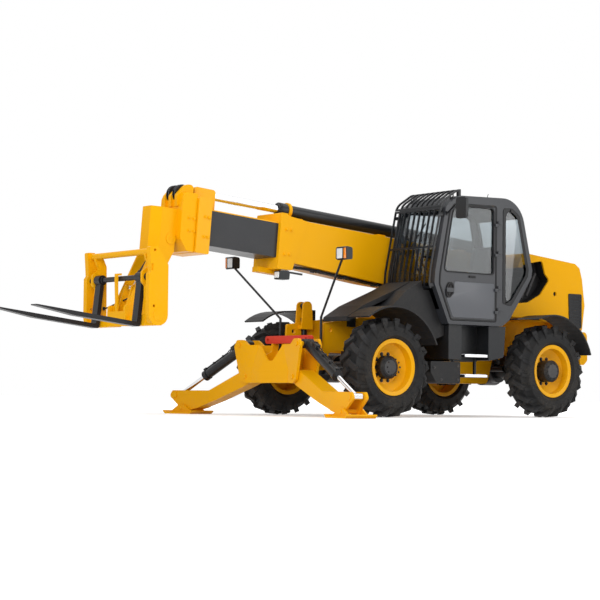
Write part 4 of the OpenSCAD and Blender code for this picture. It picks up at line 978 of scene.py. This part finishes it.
class TELEHANDLER_OT_chassis_trim(bpy.types.Operator):
    """Bolts of the belly cover, sway ram and the carriage's lock rod"""

    bl_idname = "telehandler.chassis_trim"
    bl_label = "Chassis trim"

    def execute(self, context):
        bolts, ram, rod, lock = (bmesh.new() for _ in range(4))
        for x, z in ((-0.76, 0.612), (-0.88, 0.465), (-1.16, 0.465), (-1.16, 0.64)):
            add_bolt(bolts, machine_point(x, 1.08, z), ACROSS, 0.013)
        add_piece("belly_bolts", bolts, "chassis", "iron")
        foot, head = machine_point(0.165, -0.33, 1.03), machine_point(0.165, -0.33, 1.375)
        barrel = (
            (0.0, -0.05), (0.034, -0.05), (0.038, -0.046), (0.038, 0.15), (0.043, 0.154), (0.043, 0.19), (0.036, 0.196),
            (0.0, 0.196),
        )
        add_wheel(ram, barrel, foot, (0, 0, 1))
        add_rod(ram, head - ACROSS * 0.036, head + ACROSS * 0.036, 0.04, segments=28, bevel=0.004)
        add_rod(rod, foot + Vector((0, 0, 0.19)), head - Vector((0, 0, 0.035)), 0.02, segments=24, bevel=0.002)
        add_piece("sway_ram", ram, "chassis", "black")
        add_piece("sway_rod", rod, "chassis", "chrome")
        route = machine_path((3.03, -0.47, 1.232), (3.03, -0.42, 1.234), (3.03, 0.05, 1.335), (3.03, 0.1, 1.335))
        add_pipe(lock, bent(route, 0.03), 0.009)
        for end in (route[0], route[-1]):
            pin = Vector((0, 0, 0.02))
            add_rod(lock, end - pin, end + pin, 0.016, segments=16, bevel=0.003)
        add_piece("carriage_lock_rod", lock, "fork_carriage", "black")
        return {"FINISHED"}


class TELEHANDLER_OT_seat(bpy.types.Operator):
    """Padded seat and backrest in woven cloth"""

    bl_idname = "telehandler.seat"
    bl_label = "Seat pads"

    def execute(self, context):
        bm = bmesh.new()
        base = ((-1.815, 1.552, 0.03), (-1.4, 1.552, 0.04), (-1.392, 1.64, 0.04), (-1.815, 1.625, 0.03))
        back = ((-1.868, 1.685, 0.025), (-1.802, 1.692, 0.025), (-1.905, 2.19, 0.03), (-1.982, 2.19, 0.03))
        add_plate(bm, rounded(base), side_plane(0.525), 0.42, 0.02)
        add_plate(bm, rounded(back), side_plane(0.54), 0.39, 0.02)
        piece = add_piece("seat_pads", bm, "chassis", "cloth")
        self.remesh(piece)
        self.swell(context, piece)
        seam_depth, seam_width = 0.006, 0.009
        for vert in piece.data.vertices:
            for seam in (0.635, 0.835):
                near = math.exp(-(((vert.co.y - seam) / seam_width) ** 2))
                vert.co -= vert.normal * seam_depth * near
        smooth = piece.modifiers.new("smooth", "SUBSURF")
        smooth.levels = smooth.render_levels = 1
        piece.data.shade_smooth()
        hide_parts("seat_cushion")
        return {"FINISHED"}

    def keep(self, piece):
        """Makes the shape that the modifiers give the piece's own mesh"""
        made = bpy.data.meshes.new_from_object(piece.evaluated_get(bpy.context.evaluated_depsgraph_get()))
        piece.modifiers.clear()
        piece.data = made
        return made

    def remesh(self, piece):
        """Even mesh for the cloth"""
        voxels = piece.modifiers.new("voxels", "REMESH")
        voxels.mode = "VOXEL"
        voxels.voxel_size = 0.009
        self.keep(piece)

    def swell(self, context, piece):
        """Cloth blown up from inside, held near the cut shape"""
        frames, most = 20, 0.012
        start = [vert.co.copy() for vert in piece.data.vertices]
        cloth = piece.modifiers.new("cloth", "CLOTH")
        cloth.settings.use_pressure = True
        cloth.settings.uniform_pressure_force = 4.0
        cloth.settings.effector_weights.gravity = 0.0
        cloth.point_cache.frame_end = frames
        for moment in range(1, frames + 1):
            context.scene.frame_set(moment)
        made = self.keep(piece)
        for vert, place in zip(made.vertices, start):
            move = vert.co - place
            vert.co = place + move * min(1.0, most / max(move.length, 1e-6))
        context.scene.frame_set(1)


class TELEHANDLER_OT_stage(bpy.types.Operator):
    """Pale floor, soft lamps, white surround and camera"""

    bl_idname = "telehandler.stage"
    bl_label = "Studio"

    def execute(self, context):
        self.add_camera(context)
        self.add_floor(context)
        self.add_surround(context)
        for name, place, target, size, power in (
            ("top_softbox", (-0.5, 1.0, 9.0), (0, 0, 0.5), 9.0, 380.0),
            ("key_softbox", (11.0, 8.0, 5.5), (0, 0, 1.0), 6.5, 900.0),
            ("side_softbox", (-7.0, 9.5, 4.5), (-1.5, 0, 1.0), 6.0, 280.0),
        ):
            data = bpy.data.lights.new(name, "AREA")
            data.size = size
            data.energy = power
            lamp = bpy.data.objects.new(name, data)
            context.scene.collection.objects.link(lamp)
            aim = Vector(target) - Vector(place)
            lamp.matrix_world = Matrix.Translation(place) @ aim.to_track_quat("-Z", "Y").to_matrix().to_4x4()
        return {"FINISHED"}

    def add_camera(self, context):
        """Camera by its place, heading, rise and roll"""
        studio = context.scene.telehandler_studio
        yaw, pitch, roll = studio.camera_yaw, studio.camera_pitch, studio.camera_roll
        ahead = Vector((math.cos(pitch) * math.cos(yaw), math.cos(pitch) * math.sin(yaw), math.sin(pitch)))
        level = ahead.cross(Vector((0, 0, 1))).normalized()
        down = ahead.cross(level)
        right = math.cos(roll) * level + math.sin(roll) * down
        low = -math.sin(roll) * level + math.cos(roll) * down
        data = bpy.data.cameras.new("photo_camera")
        data.lens = studio.lens
        data.sensor_width = 36.0
        data.clip_end = 200.0
        camera = bpy.data.objects.new("photo_camera", data)
        context.scene.collection.objects.link(camera)
        turn = Matrix((right, -low, -ahead)).transposed().to_4x4()
        camera.matrix_world = Matrix.Translation(machine_point(*studio.camera_place)) @ turn
        context.scene.camera = camera

    def add_floor(self, context):
        """Round floor that glows to white away from the machine"""
        bm = bmesh.new()
        bmesh.ops.create_circle(bm, cap_ends=True, segments=96, radius=60.0)
        mesh = bpy.data.meshes.new("floor")
        bm.to_mesh(mesh)
        bm.free()
        floor = bpy.data.objects.new("floor", mesh)
        context.scene.collection.objects.link(floor)
        made, tree, shader = new_material(
            "studio_floor", Roughness=0.9, Base_Color=(0.86, 0.86, 0.86, 1.0), Emission_Color=(1.0, 1.0, 1.0, 1.0)
        )
        away = add_node(tree, "ShaderNodeVectorMath", {0: coordinates(tree)}, operation="LENGTH").outputs["Value"]
        glow = add_math(tree, "MULTIPLY_ADD", ramp(tree, away, 2.0, 9.0), 0.75, 0.3)
        feed(tree, shader["Emission Strength"], add_math(tree, "MULTIPLY", seen_rays(tree), glow))
        mesh.materials.append(made)

    def add_surround(self, context):
        """Even light that is seen as plain white"""
        world = bpy.data.worlds.new("studio")
        context.scene.world = world
        world.use_nodes = True
        tree = world.node_tree
        sky = context.scene.telehandler_studio.sky
        backdrop = tree.nodes["Background"].inputs
        backdrop["Color"].default_value = (1.0, 1.0, 1.0, 1.0)
        feed(tree, backdrop["Strength"], add_math(tree, "MULTIPLY_ADD", seen_rays(tree), 1.0 - sky, sky))


class TELEHANDLER_PT_panel(bpy.types.Panel):
    """Sidebar panel that lists the steps"""

    bl_idname = "TELEHANDLER_PT_panel"
    bl_label = "Telehandler"
    bl_space_type = "VIEW_3D"
    bl_region_type = "UI"
    bl_category = "Telehandler"

    def draw(self, context):
        for operator in OPERATORS:
            self.layout.operator(operator.bl_idname)


SETTINGS = (
    ("telehandler_paint", PaintSettings),
    ("telehandler_trim", TrimSettings),
    ("telehandler_studio", StudioSettings),
)
OPERATORS = (
    TELEHANDLER_OT_stage,
    TELEHANDLER_OT_finishes,
    TELEHANDLER_OT_collar_bolts,
    TELEHANDLER_OT_wheel_nuts,
    TELEHANDLER_OT_shoulder_bars,
    TELEHANDLER_OT_cab_trim,
    TELEHANDLER_OT_cab_fittings,
    TELEHANDLER_OT_lamps,
    TELEHANDLER_OT_boom_trim,
    TELEHANDLER_OT_ram_fittings,
    TELEHANDLER_OT_steps,
    TELEHANDLER_OT_cover_trim,
    TELEHANDLER_OT_chassis_trim,
    TELEHANDLER_OT_seat,
)


def register():
    for name, settings in SETTINGS:
        bpy.utils.register_class(settings)
        setattr(bpy.types.Scene, name, PointerProperty(type=settings))
    for operator in OPERATORS:
        bpy.utils.register_class(operator)
    bpy.utils.register_class(TELEHANDLER_PT_panel)


def unregister():
    bpy.utils.unregister_class(TELEHANDLER_PT_panel)
    for operator in reversed(OPERATORS):
        bpy.utils.unregister_class(operator)
    for name, settings in reversed(SETTINGS):
        delattr(bpy.types.Scene, name)
        bpy.utils.unregister_class(settings)


def main():
    register()
    bpy.context.scene.view_settings.view_transform = "Standard"
    for operator in OPERATORS:
        group, name = operator.bl_idname.split(".")
        getattr(getattr(bpy.ops, group), name)()


if __name__ == "__main__":
    main()
